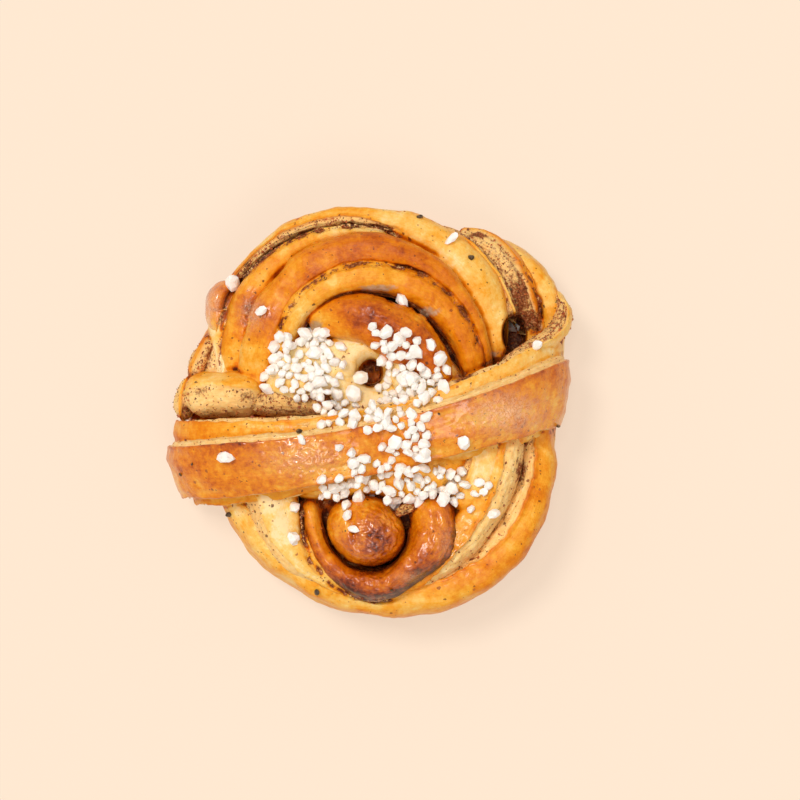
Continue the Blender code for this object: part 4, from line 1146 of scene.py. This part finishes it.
def paint(part, narrow_creases, wide_creases):
    """Marks a shaped strand with its baking, its cut sides, its cinnamon and its gloss, and
    makes it a piece. Creases get painted shade: a browner tone, and dark cinnamon where they are deep,
    which also stands for filling.
    """
    places, crust = part["places"], part["crust"]
    narrow = read_field(narrow_creases, places)
    wide = read_field(wide_creases, places)
    broken = np.clip(waved(places, *FILLED_WHOLE), 0, 1)
    # Painted shade: creases, by their depth, are browned and filled with dark cinnamon on faces that turn
    # up
    crease = part["crease"] * soft_step(0.05, 0.35, part["facing_up"])
    tone = part["tone"] + patch_strength(places, BROWNING_PATCHES) + BROWNING_AND_CREASE_SHADE["lip"] * part["lip"]
    # Browner lip and lowest dough come from the bake; the browner creases are painted shade
    crease_shade_wide, crease_shade_narrow, brown_low = (
        BROWNING_AND_CREASE_SHADE[key] * soft_step(*BROWNING_AND_SHADE_DEPTHS[key], depth)
        for key, depth in (("wide", wide), ("narrow", narrow), ("low", places[..., 2]))
    )
    tone += crease * (crease_shade_wide + crease_shade_narrow)
    tone += brown_low
    patches = patch_strength(places, CINNAMON_PATCHES)
    cinnamon = part["cinnamon"] + patches * (PATCH_CINNAMON - PATCH_CINNAMON_ON_CRUST * crust)
    # Dark cinnamon in deep creases: filling, and painted shade as well
    filled = [
        soft_step(*FILLED_AND_SHADED_DEPTHS[key], depth) for key, depth in (("wide", wide), ("narrow", narrow))
    ]
    cinnamon = np.maximum(cinnamon, crease * (np.maximum(*filled) * broken))
    marks = {
        "bake": np.clip(tone, 0, 1),
        "cut": 1 - crust,
        "cinnamon": np.clip(cinnamon, 0, 1),
        "gloss": np.clip(part["gloss"] + patch_strength(places, GLAZE_PATCHES) * crust, 0, 1),
        "melt": np.clip(patch_strength(places, MELT_PATCHES), 0, 1),
        # The painted highlight: a pale pink mixed into the crust in patches
        "painted_highlight": np.clip(patch_strength(places, PAINTED_HIGHLIGHT_PATCHES) * crust, 0, 1),
    }
    obj = grid_object(part["name"], places, part["closed"], part["length"], part["girth"], marks)
    obj.data.materials.append(MATERIALS["dough"])
    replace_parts(obj, "dough")


def grid_object(name, places, closed, length, girth, marks):
    """A piece skinned over a grid of places that is closed around. An open strand's first and
    last rings are drawn together into one vertex each. The map named strand holds the
    distance along and around, in millimetres.
    """
    count, sides = places.shape[:2]
    rows = np.arange(count if closed else count - 1)
    i, j = np.meshgrid(rows, np.arange(sides), indexing="ij")
    after = (i + 1) % count
    beside = (j + 1) % sides
    around = ((i, j), (after, j), (after, beside), (i, beside))
    corners = np.stack([row * sides + column for row, column in around], axis=-1).reshape(-1, 4)
    steps = ((0, 0), (1, 0), (1, 1), (0, 1))
    ends = np.stack([np.stack([i + row, j + column], -1) for row, column in steps], axis=2)
    ends = ends.reshape(-1, 4, 2)
    maps = ends / np.array([count - 1, sides]) * np.array([length, girth])
    points = (places + MOVED).reshape(-1, 3)
    fields = {key: value.reshape(-1) for key, value in marks.items()}
    if not closed:
        number = np.arange(count * sides)
        ring = number // sides
        number = np.where(ring == 0, 0, np.where(ring == count - 1, count * sides - 1, number))
        corners = number[corners]
        kept = np.unique(corners)
        renumber = np.zeros(count * sides, int)
        renumber[kept] = np.arange(len(kept))
        corners = renumber[corners]
        points = points[kept]
        fields = {key: value[kept] for key, value in fields.items()}
    whole = corners != np.roll(corners, -1, axis=1)
    sizes = whole.sum(axis=1)
    return new_piece(name, points, corners[whole], sizes, maps[whole], fields, True)


def put_in_scene(name, data):
    """An object with its data, linked to the scene."""
    obj = bpy.data.objects.new(name, data)
    bpy.context.scene.collection.objects.link(obj)
    return obj


def new_piece(name, points, corners, sizes, maps=None, fields=None, smooth=False):
    """A mesh object from points in millimetres, face corners in a row and face sizes."""
    mesh = bpy.data.meshes.new(name)
    mesh.vertices.add(len(points))
    mesh.vertices.foreach_set("co", (points * MILLIMETRE).astype(np.float32).ravel())
    mesh.loops.add(len(corners))
    mesh.loops.foreach_set("vertex_index", corners.astype(np.int32))
    mesh.polygons.add(len(sizes))
    mesh.polygons.foreach_set("loop_start", (np.cumsum(sizes) - sizes).astype(np.int32))
    mesh.polygons.foreach_set("use_smooth", np.full(len(sizes), smooth))
    if maps is not None:
        layer = mesh.uv_layers.new(name="strand")
        layer.data.foreach_set("uv", maps.astype(np.float32).ravel())
    for key, values in (fields or {}).items():
        attribute = mesh.attributes.new(key, "FLOAT", "POINT")
        attribute.data.foreach_set("value", values.astype(np.float32))
    mesh.update(calc_edges=True)
    mesh.validate()
    obj = put_in_scene(name, mesh)
    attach(obj, "root")
    return obj


def linear(colour):
    """A colour from 0 to 255 as seen, as the light that it stands for."""
    share = np.asarray(colour, float) / 255
    light = np.where(share <= 0.04045, share / 12.92, ((share + 0.055) / 1.055) ** 2.4)
    return (*light.tolist(), 1.0)


class Nodes:
    """Short calls that add nodes to one material and link them."""

    def __init__(self, name):
        self.material = bpy.data.materials.new(name)
        self.material.use_nodes = True
        self.tree = self.material.node_tree
        self.shader = self.tree.nodes["Principled BSDF"]

    def fill(self, inputs, sources):
        """Inputs by name or number: a number or a tuple is set and an output is linked."""
        for key, source in sources.items():
            if isinstance(source, (int, float, tuple)):
                inputs[key].default_value = source
            else:
                self.tree.links.new(source, inputs[key])

    def shade(self, sources):
        self.fill(self.shader.inputs, sources)

    def add(self, kind, sources, output=0, **settings):
        """One output of a new node of a kind, with its inputs and its settings."""
        node = self.tree.nodes.new("ShaderNode" + kind)
        for key, value in settings.items():
            setattr(node, key, value)
        self.fill(node.inputs, sources)
        return node.outputs[output]

    def mark(self, name):
        return self.add("Attribute", {}, "Fac", attribute_name=name)

    def place(self, stretch=(1.0, 1.0, 1.0), strand=False):
        """Object coordinates in millimetres, or the strand's own map, stretched."""
        if strand:
            source = self.add("UVMap", {}, "UV", uv_map="strand")
        else:
            source = self.add("TexCoord", {}, "Object")
            stretch = tuple(part / MILLIMETRE for part in stretch)
        return self.add("Mapping", {"Vector": source, "Scale": stretch})

    def noise(self, place, size, detail=2.0, rough=0.55):
        sources = {"Vector": place, "Scale": 1 / size, "Detail": detail, "Roughness": rough}
        return self.add("TexNoise", sources, "Fac")

    def shaken(self, place, size, reach):
        """Places moved by up to half of a reach, by noise of a size."""
        noise = self.add("TexNoise", {"Vector": place, "Scale": 1 / size}, "Color")
        reaches = (reach, reach, reach)
        return self.add("VectorMath", {0: noise, 1: reaches, 2: place}, operation="MULTIPLY_ADD")

    def grains(self, place, size, density):
        """Loose grains, at most one in a cell of a size: each is there where the density is
        above a number drawn for its cell, and its reach and its shade are drawn too.
        """
        distance = self.add("TexVoronoi", {"Vector": place, "Scale": 1 / size}, "Distance")
        drawn = self.add("SeparateColor", {"Color": distance.node.outputs["Color"]}).node.outputs
        there = self.sum("LESS_THAN", drawn["Red"], density)
        limit = self.times(there, self.sum("MULTIPLY_ADD", drawn["Green"], *GRAIN_REACH))
        return self.between(self.less(limit, distance), *GRAIN_EDGE), drawn["Blue"]

    def sum(self, kind, *sources):
        return self.add("Math", dict(enumerate(sources)), operation=kind)

    def times(self, first, second):
        return self.sum("MULTIPLY", first, second)

    def less(self, first, second):
        return self.sum("SUBTRACT", first, second)

    def plus(self, base, waves, weights):
        """A base and each of the named waves times its weight, added up."""
        for key, weight in weights.items():
            base = self.sum("MULTIPLY_ADD", waves[key], weight, base)
        return base

    def between(self, value, low, high, to_low=0.0, to_high=1.0):
        """A soft step from one value below low to another above high."""
        sources = {"Value": value, "From Min": low, "From Max": high, "To Min": to_low, "To Max": to_high}
        return self.add("MapRange", sources, interpolation_type="SMOOTHSTEP")

    def ramp(self, value, steps):
        """Colours that change with a value, smoothly from step to step."""
        colour = self.add("ValToRGB", {"Fac": value}, "Color")
        elements = colour.node.color_ramp.elements
        while len(elements) < len(steps):
            elements.new(0.5)
        for element, (place, shade) in zip(elements, steps):
            element.position = place
            element.color = linear(shade)
        return colour

    def mix(self, share, first, second):
        return self.add("Mix", {0: share, 6: first, 7: second}, 2, data_type="RGBA")

    def bump(self, height, distance, strength):
        sources = {"Height": height, "Distance": distance * MILLIMETRE, "Strength": strength}
        self.shade({"Normal": self.add("Bump", sources)})


def dough_material():
    """Crust browned by the bake mark, pale layered crumb where cut, cinnamon and specks, and a pale pink
    painted highlight over glazed patches.
    """
    nodes = Nodes("baked dough")
    place = nodes.place()
    waves = {name: nodes.mark(name) for name in ("cut", "cinnamon", "gloss")}
    waves.update((key, nodes.noise(place, *settings)) for key, settings in DOUGH_WAVES.items())
    waves["streak"] = nodes.noise(nodes.place(STREAK_STRETCH, strand=True), *STREAK_WAVE)
    mottle, gloss = waves["mottle"], waves["gloss"]
    ridged = nodes.sum("ABSOLUTE", nodes.less(waves["net"], 0.5))
    waves["off_middle"] = nodes.less(mottle, 0.5)
    waves["glazed"] = nodes.times(gloss, waves["off_middle"])
    waves["ridges"] = nodes.times(ridged, gloss)
    waves["fine_cut"] = nodes.times(waves["fine"], waves["cut"])

    tone = nodes.less(nodes.plus(nodes.mark("bake"), waves, CRUST_WEIGHTS), CRUST_PALER)
    crumb_tone = nodes.less(nodes.plus(0.0, waves, CRUMB_WEIGHTS), CRUMB_PALER)
    colour = nodes.mix(waves["cut"], nodes.ramp(tone, CRUST_STEPS), nodes.ramp(crumb_tone, CRUMB_STEPS))
    melt = nodes.between(nodes.plus(nodes.mark("melt"), waves, MELT_WEIGHTS), *MELT_EDGE)
    colour = nodes.mix(nodes.times(melt, MELT_COVER), colour, nodes.ramp(mottle, MELT_STEPS))
    smear = nodes.ramp(nodes.plus(0.0, waves, SMEAR_WEIGHTS), CINNAMON_STEPS)
    smeared = nodes.between(nodes.plus(waves["cinnamon"], waves, SMEARED_WEIGHTS), *SMEARED_EDGE)
    colour = nodes.mix(smeared, colour, smear)

    density = nodes.times(waves["cinnamon"], nodes.between(waves["clusters"], *CLUSTER_EDGE))
    shaken = nodes.shaken(place, *SPECK_SHAKE)
    for size, share in SPECK_SIZES:
        grains, shade = nodes.grains(shaken, size, nodes.times(density, share))
        colour = nodes.mix(nodes.times(grains, SPECK_COVER), colour, nodes.ramp(shade, SPECK_STEPS))
    # Painted highlight: a pale pink net mixed into the colour where the glaze would reflect the lamps
    painted_highlight = nodes.times(nodes.mark("painted_highlight"), nodes.between(mottle, *PAINTED_HIGHLIGHT_MOTTLE))
    painted_highlight = nodes.times(painted_highlight, nodes.between(ridged, *PAINTED_HIGHLIGHT_RIDGES))
    nodes.shade({
        **DOUGH_SHADER,
        "Base Color": nodes.mix(painted_highlight, colour, linear(PAINTED_HIGHLIGHT_COLOUR)),
        "Roughness": nodes.plus(CRUST_ROUGHNESS, waves, ROUGHNESS_WEIGHTS),
        "Coat Weight": nodes.times(gloss, GLAZE_COAT),
    })
    nodes.bump(nodes.plus(mottle, waves, BUMP_WEIGHTS), *DOUGH_BUMP)
    return nodes.material


def filling_material():
    """Moist cinnamon and sugar: dark brown and grainy, with bare pale dough in places."""
    nodes = Nodes("cinnamon filling")
    place = nodes.place()
    waves = {key: nodes.noise(place, *settings) for key, settings in FILLING_WAVES.items()}
    mottle, fine = waves["mottle"], waves["fine"]
    waves["off_middle"] = nodes.less(mottle, 0.5)
    spread = nodes.ramp(nodes.plus(0.0, waves, SPREAD_WEIGHTS), CINNAMON_STEPS)
    bare = nodes.between(nodes.plus(nodes.mark("bare"), waves, BARE_WEIGHTS), *BARE_EDGE)
    nodes.shade({"Base Color": nodes.mix(bare, spread, nodes.ramp(fine, CRUMB_STEPS))})
    nodes.shade(FILLING_SHADER)
    nodes.bump(nodes.sum("ADD", mottle, fine), *FILLING_BUMP)
    return nodes.material


def sugar_material():
    """Pearl sugar: white, a little waxy, with a faint warm mottle."""
    nodes = Nodes("pearl sugar")
    place = nodes.place()
    nodes.shade({"Base Color": nodes.ramp(nodes.noise(place, SUGAR_MOTTLE), SUGAR_STEPS)})
    nodes.shade(SUGAR_SHADER)
    nodes.bump(nodes.noise(place, SUGAR_GRAIN), *SUGAR_BUMP)
    return nodes.material


def spice_material(name, size, steps):
    """Ground spice, whose shades change over a size: cinnamon bark or cardamom."""
    nodes = Nodes(name)
    colour = nodes.ramp(nodes.noise(nodes.place(), size), steps)
    nodes.shade({"Base Color": colour, "Roughness": SPICE_ROUGHNESS})
    return nodes.material


def floor_material():
    """The plain pale floor, which glows a little so that it stays even."""
    nodes = Nodes("floor")
    colour = linear(FLOOR_COLOUR)
    nodes.shade({**FLOOR_SHADER, "Base Color": colour, "Emission Color": colour})
    return nodes.material


MATERIALS = {
    "dough": dough_material(),
    "filling": filling_material(),
    "sugar": sugar_material(),
    "cinnamon": spice_material("cinnamon crumbs", CINNAMON_MOTTLE, SPICE_STEPS),
    "cardamom": spice_material("cardamom", CARDAMOM_MOTTLE, CARDAMOM_STEPS),
    "floor": floor_material(),
}


def core_strand():
    """The core: rings from its lowest to its highest place, drawn out to an ellipsoid. Its
    relief fades only near its two ends.
    """
    t = np.linspace(0, 1, CORE_RINGS)
    taper = np.sin(math.pi * t)
    path = np.stack([0 * t, 0 * t, CORE_MIDDLE - CORE_HEIGHT * np.cos(math.pi * t)], axis=1)
    ahead, lift = (np.tile(way, (CORE_RINGS, 1)) for way in (UPWARD, EASTWARD))
    core = make_strand(
        path, t, taper, CORE_RADIUS, CORE_RADIUS, length=2 * CORE_HEIGHT, ahead=ahead, lift=lift
    )
    return {**core, "taper": np.clip(taper * CORE_FADE, 0, 1)}


def shape_strap(name, layer, floor):
    """One layer of the strap."""
    t, taper = even_strap_stations(layer["step"])
    sizes = (along(layer[key], t) for key in ("half_width", "half_height"))
    return shape(name, strap_strand(layer, t, taper, *sizes), STRAP_POWER, floor)


def make_dough():
    """Every strand is shaped first, so that the creases between them are known for painting their shade
    and cinnamon.
    """
    shapes = [
        shape("core", core_strand(), ROUND_POWER, FLOORS["core"]),
        shape("foot", ring_strand(**FOOT), SECTION_POWER, FLOORS["foot"]),
        shape("hole_ring", ring_strand(**HOLE_RING), ROUND_POWER),
    ]
    shapes += [shape(name, turn_strand(turn), SECTION_POWER) for name, turn in TURNS.items()]
    shapes += [shape(name, free_strand(turn), FREE_POWER) for name, turn in FREE_TURNS.items()]
    shapes += [
        shape("ball", ball_strand(), BALL_POWER),
        shape("curled_turn", turn_strand(CURLED_TURN, BALL["centre"]), CURLED_POWER),
        shape("ball_bridge", bridge_strand(), ROUND_POWER),
        shape_strap("strap_upper", UPPER_LAYER, FLOORS["strap_upper"]),
        shape_strap("strap_lower", LOWER_LAYER, FLOORS["strap_lower"]),
    ]
    field = height_field(shapes)
    creases = [crease_field(field, reaches) for reaches in (NARROW_CREASES, WIDE_CREASES)]
    for part in shapes:
        paint(part, *creases)
    return shapes


def crumbled(name, strand, roughness, bare, thickness="half_width"):
    """A ribbon of filling whose faces are moved in and out by grainy noise, and which is thick
    and proud in places and thin and sunk in others, by two slow waves of noise along it.
    """
    share = np.clip(waved(strand["path"], *RIBBON_SHARE), *RIBBON_SHARE_LIMITS)
    thin = {**strand, thickness: strand[thickness] * share}
    places = sweep(thin, section_angles(RIBBON_SIDES * GRID_STEP), RIBBON_POWER)
    normals = grid_normals(places, False)
    relief = roughness * waved(places, *RIBBON_RELIEF)
    places = places + normals * (relief * np.sqrt(strand["taper"])[:, None])[..., None]
    places[..., 2] -= waved(places, *RIBBON_SINK)
    marks = {"bare": along(bare, strand["t"])[:, None] + 0 * places[..., 0]}
    obj = grid_object(name, places, False, strand["length"], RIBBON_GIRTH, marks)
    obj.data.materials.append(MATERIALS["filling"])
    return obj


def make_fillings():
    """The upright ribbons in their slots, and the flat one between the strap's layers."""
    for name, ribbon in UPRIGHT_RIBBONS.items():
        start, end = np.radians(ribbon["angles"])
        length = (end - start) * float(np.mean(ribbon["radius"]))
        t, taper = stations(length, RIBBON_ROUNDING)
        middle = along(ribbon["top"], t) - ribbon["half_height"]
        radius = along(ribbon["radius"], t)
        path = polar_path(start + (end - start) * t, radius, middle, ribbon["centre"])
        strand = make_strand(path, t, taper, RIBBON_HALF_THICKNESS, ribbon["half_height"])
        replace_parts(crumbled(name + "_ribbon", strand, RIBBON_ROUGHNESS, RIBBON_BARE), name)
    whole_start, whole_end = STRAP["angles"]
    start, end = STRAP_RIBBON["angles"]
    t, taper = stations(STRAP_RIBBON["length"], STRAP_RIBBON["rounding"])
    t = (start + (end - start) * t - whole_start) / (whole_end - whole_start)
    half_width = (along(UPPER_LAYER["half_width"], t) + along(LOWER_LAYER["half_width"], t)) / 2
    half_width += STRAP_RIBBON["past_edge"]
    half_height = np.full(len(t), STRAP_RIBBON["half_thickness"])
    layer = {"step": STRAP_RIBBON["step"], "shift": np.asarray(LOWER_LAYER["shift"]) / 2}
    strand = strap_strand(layer, t, taper, half_width, half_height)
    roughness = STRAP_RIBBON["roughness"]
    ribbon = crumbled("strap_filling_ribbon", strand, roughness, STRAP_BARE, "half_height")
    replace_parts(ribbon, "strap_filling")


def top_of_bun(x, y):
    """Where a plumb line at x, y in millimetres first meets the dough, and its direction there."""
    depsgraph = bpy.context.evaluated_depsgraph_get()
    above = Vector((x + MOVED[0], y + MOVED[1], PLUMB_HEIGHT)) * MILLIMETRE
    hit, place, normal, *_ = bpy.context.scene.ray_cast(depsgraph, above, Vector((0, 0, -1)))
    return (np.array(place) / MILLIMETRE - MOVED, np.array(normal)) if hit else (None, None)


def even_tries(draw, grains):
    """Tried places spread evenly over an oval of radius 1."""
    tries = draw.uniform(-1, 1, (grains * LARGE_TRIES, 2))
    return tries[np.hypot(tries[:, 0], tries[:, 1]) < 1]


def heaped_tries(draw, grains):
    """Tried places that lie closest together near the middle."""
    return np.clip(draw.normal(0, HEAP_SPREAD, (grains * FINE_TRIES, 2)), -HEAP_EDGE, HEAP_EDGE)


def spread_grains(places, patches, singles, draw, tries, sizes, spacing):
    """Adds the places and radii of grains: in each patch those of the tried places that lie
    far enough from all the grains before them, then the single ones.
    """
    for x, y, half_length, half_width, grains in patches:
        kept = 0
        for across, upward in tries(draw, grains):
            if kept == grains:
                break
            radius = draw.uniform(*sizes)
            place = (x + across * half_length, y + upward * half_width)
            if all(math.dist(place, other[:2]) > spacing * (radius + other[2]) for other in places):
                places.append((*place, radius))
                kept += 1
    for x, y in singles:
        places.append((x, y, draw.uniform(*sizes)))


def crystal_points():
    """Points wound evenly over a ball of radius 1, each a golden turn on from the last and as
    much lower, and the 44 faces of their hull.
    """
    number = np.arange(GRAIN_POINTS) + 0.5
    height = 1 - 2 * number / GRAIN_POINTS
    turn = number * math.pi * (3 - math.sqrt(5))
    ring = np.sqrt(1 - height**2)
    points = np.stack([ring * np.cos(turn), ring * np.sin(turn), height], axis=1)
    work = bmesh.new()
    for point in points:
        work.verts.new(point)
    bmesh.ops.convex_hull(work, input=work.verts)
    work.verts.index_update()
    faces = np.array([[vertex.index for vertex in face.verts] for face in work.faces])
    work.free()
    return points, faces


def random_turns(draw, count):
    """Turning matrices, each from two random directions set square to each other."""
    first = unit(draw.normal(size=(count, 3)))
    second = unit(np.cross(first, draw.normal(size=(count, 3))))
    return np.stack([first, second, np.cross(first, second)], axis=-1)


def chipped_grains(draw, middles, radii, low, high):
    """Angular grains: each point of a ball is drawn in to the nearest of some random planes,
    then the grain is stretched between the low and high shares, turned and put in its place.
    """
    points, faces = crystal_points()
    count = len(middles)
    normals = unit(draw.normal(size=(count, GRAIN_PLANES, 3)))
    distances = draw.uniform(*GRAIN_FLATS, (count, GRAIN_PLANES))
    facing = np.einsum("pk,gnk->gpn", points, normals)
    away = distances[:, None, :] / np.maximum(facing, LEAST_FACING)
    limits = np.where(facing > LEAST_FACING, away, FAR_OUT)
    reach = np.minimum(limits.min(axis=2), 1.0)
    grown = GRAIN_FULLNESS / reach.mean(axis=1, keepdims=True)
    jitter = draw.normal(0, GRAIN_JITTER, (count, len(points), 3))
    shapes = points[None] * (reach * grown)[..., None] + jitter
    shapes = shapes * draw.uniform(low, high, (count, 1, 3))
    shapes = np.einsum("gij,gpj->gpi", random_turns(draw, count), shapes)
    return joined(shapes * radii[:, None, None] + middles[:, None], faces)


def joined(shapes, faces):
    """Many grains of the same faces as one mesh's points, face corners and face sizes."""
    count, points = shapes.shape[:2]
    corners = faces[None] + (np.arange(count) * points)[:, None, None]
    return shapes.reshape(-1, 3), corners.reshape(-1), np.full(count * len(faces), 3)


def heaped_grains(places):
    """Middles and radii of grains. Each lies on the dough where a plumb line meets it, or on
    the grains below it: it is raised until it is a touching distance from their middles.
    """
    middles = []
    radii = []
    for x, y, radius in places:
        if hollow_share(np.array([x, y]), HOLLOWS["middle_hole"]) > 0:
            continue
        place, normal = top_of_bun(x, y)
        middle = place + normal * radius * (1 - GRAIN_SINK)
        for other, other_radius in zip(middles, radii):
            gap = math.dist(middle[:2], other[:2])
            touching = GRAINS_TOUCH * (radius + other_radius)
            if gap < touching:
                rise = math.sqrt(touching**2 - gap**2) * HEAP_RISE
                middle[2] = max(middle[2], other[2] + rise)
        middle[2] = min(middle[2], HIGHEST_GRAIN - 1.1 * radius)
        middles.append(middle)
        radii.append(radius)
    return np.array(middles), np.array(radii)


def grain_piece(name, mesh, finish):
    """One piece of joined grains that lie on the dough."""
    points, corners, sizes = mesh
    obj = new_piece(name, points + MOVED, corners, sizes)
    obj.data.materials.append(MATERIALS[finish])
    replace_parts(obj, "dough")


def make_sugar():
    """Large grains at the same seeded places as the solid's, finer ones that may lie against
    and on each other, and the slivers.
    """
    places = []
    large = np.random.RandomState(SUGAR_SEED)
    fine = np.random.RandomState(FINE_SUGAR_SEED)
    spread_grains(places, SUGAR_PATCHES, SINGLE_GRAINS, large, even_tries, GRAIN_RADIUS, GRAIN_SPACING)
    spread_grains(
        places, FINE_SUGAR_PATCHES, FINE_SINGLE_GRAINS, fine, heaped_tries, FINE_GRAIN_RADIUS,
        FINE_GRAIN_APART,
    )
    draw = np.random.RandomState(FINE_SUGAR_SEED + 1)
    middles, radii = heaped_grains(places)
    grain_piece("sugar_grains", chipped_grains(draw, middles, radii, *GRAIN_STRETCH), "sugar")
    middles, radii = heaped_grains([(x, y, FINE_GRAIN_RADIUS[1]) for x, y in SUGAR_SLIVERS])
    grain_piece("sugar_slivers", chipped_grains(draw, middles, radii, *SLIVER_STRETCH), "sugar")


def flake_points():
    """A rough flake: a ring of six points between two offset middles, with 12 faces."""
    angle = np.arange(6) / 6 * 2 * math.pi
    ring = np.stack([np.cos(angle), np.sin(angle), 0.25 * np.cos(3 * angle)], axis=1)
    points = np.concatenate([ring, [[0.2, 0.0, 0.55], [-0.2, 0.1, -0.5]]])
    after = (np.arange(6) + 1) % 6
    top = np.stack([np.arange(6), after, np.full(6, 6)], axis=1)
    bottom = np.stack([after, np.arange(6), np.full(6, 7)], axis=1)
    return points, np.concatenate([top, bottom])


def make_crumbs(shapes):
    """Crumbs of spice and cinnamon on the dough. Places are drawn from all the strands' own
    grids, more often where the surface carries cinnamon, and only where it shows: each lies
    near the height field's top or on the outer wall.
    """
    draw = np.random.RandomState(CRUMB_SEED)
    places = np.concatenate([part["places"].reshape(-1, 3) for part in shapes])
    normals = [grid_normals(part["places"], part["closed"]).reshape(-1, 3) for part in shapes]
    normals = np.concatenate(normals)
    chances = np.concatenate([part["cinnamon"].reshape(-1) for part in shapes])
    top = read_field(height_field(shapes), places)
    outside = np.hypot(places[:, 0], places[:, 1]) > OUTER_WALL_RADIUS
    seen = (places[:, 2] > top - CRUMBS_BELOW_TOP) | outside
    chances = np.clip(chances - CLEAN_CINNAMON, *CRUMB_CHANCES) ** CRUMB_CONTRAST
    chances = chances * seen * (places[:, 2] > LOWEST_CRUMB)
    chosen = draw.choice(len(places), CRUMBS, replace=False, p=chances / chances.sum())
    radii = draw.uniform(*CRUMB_RADIUS, CRUMBS) * draw.choice(CRUMB_SIZES, CRUMBS, p=CRUMB_SHARES)
    points, faces = flake_points()
    stretched = points[None] * draw.uniform(*CRUMB_STRETCH, (CRUMBS, 1, 3))
    stretched = stretched + draw.normal(0, CRUMB_JITTER, (CRUMBS, len(points), 3))
    turned = np.einsum("gij,gpj->gpi", random_turns(draw, CRUMBS), stretched)
    middles = places[chosen] + normals[chosen] * radii[:, None] * CRUMB_RAISE
    flakes = turned * radii[:, None, None] + middles[:, None]
    grain_piece("spice_crumbs", joined(flakes, faces), "cinnamon")


def make_bits():
    """The single dark bits of cardamom, larger than the crumbs."""
    draw = np.random.RandomState(CRUMB_SEED + 1)
    middles, radii = heaped_grains(SPICE_BITS)
    grain_piece("spice_bits", chipped_grains(draw, middles, radii, *BIT_STRETCH), "cardamom")


def make_camera():
    """Straight above the bun, far enough for the photograph's nearly flat view."""
    camera = put_in_scene("camera", bpy.data.cameras.new("camera"))
    camera.data.sensor_width = SENSOR_WIDTH
    camera.data.lens = camera.data.sensor_width * CAMERA_DISTANCE / SEEN_WIDTH
    camera.data.clip_start = 0.01
    camera.location = (*SEEN_MIDDLE, CAMERA_DISTANCE + SEEN_HEIGHT)
    bpy.context.scene.camera = camera


def make_floor():
    """A plain square just below the bun."""
    sides = ((-1, -1), (1, -1), (1, 1), (-1, 1))
    corners = [(x * FLOOR_HALF, y * FLOOR_HALF, FLOOR_HEIGHT) for x, y in sides]
    mesh = bpy.data.meshes.new("floor")
    mesh.from_pydata(corners, [], [(0, 1, 2, 3)])
    floor = put_in_scene("floor", mesh)
    floor.data.materials.append(MATERIALS["floor"])


def make_lamp(name, energy, angle, way):
    """A far soft lamp that shines from a direction."""
    lamp = bpy.data.lights.new(name, "SUN")
    lamp.energy = energy
    lamp.angle = math.radians(angle)
    lamp.color = LAMP_COLOUR
    obj = put_in_scene(name, lamp)
    obj.rotation_euler = Vector(way).to_track_quat("Z", "Y").to_euler()


def make_light():
    """A wide lamp high on the upper left, a wider fill from the near side, a small one nearly
    overhead for the glints on the glaze, and an even glow.
    """
    for name, (energy, angle, way) in LAMPS.items():
        make_lamp(name, energy, angle, way)
    world = bpy.data.worlds.new("glow")
    bpy.context.scene.world = world
    world.use_nodes = True
    glow = world.node_tree.nodes["Background"].inputs
    glow["Color"].default_value = (*LAMP_COLOUR, 1.0)
    glow["Strength"].default_value = GLOW
    bpy.context.scene.view_settings.view_transform = "Standard"


strands = make_dough()
make_fillings()
make_sugar()
make_bits()
make_crumbs(strands)
make_floor()
make_camera()
make_light()
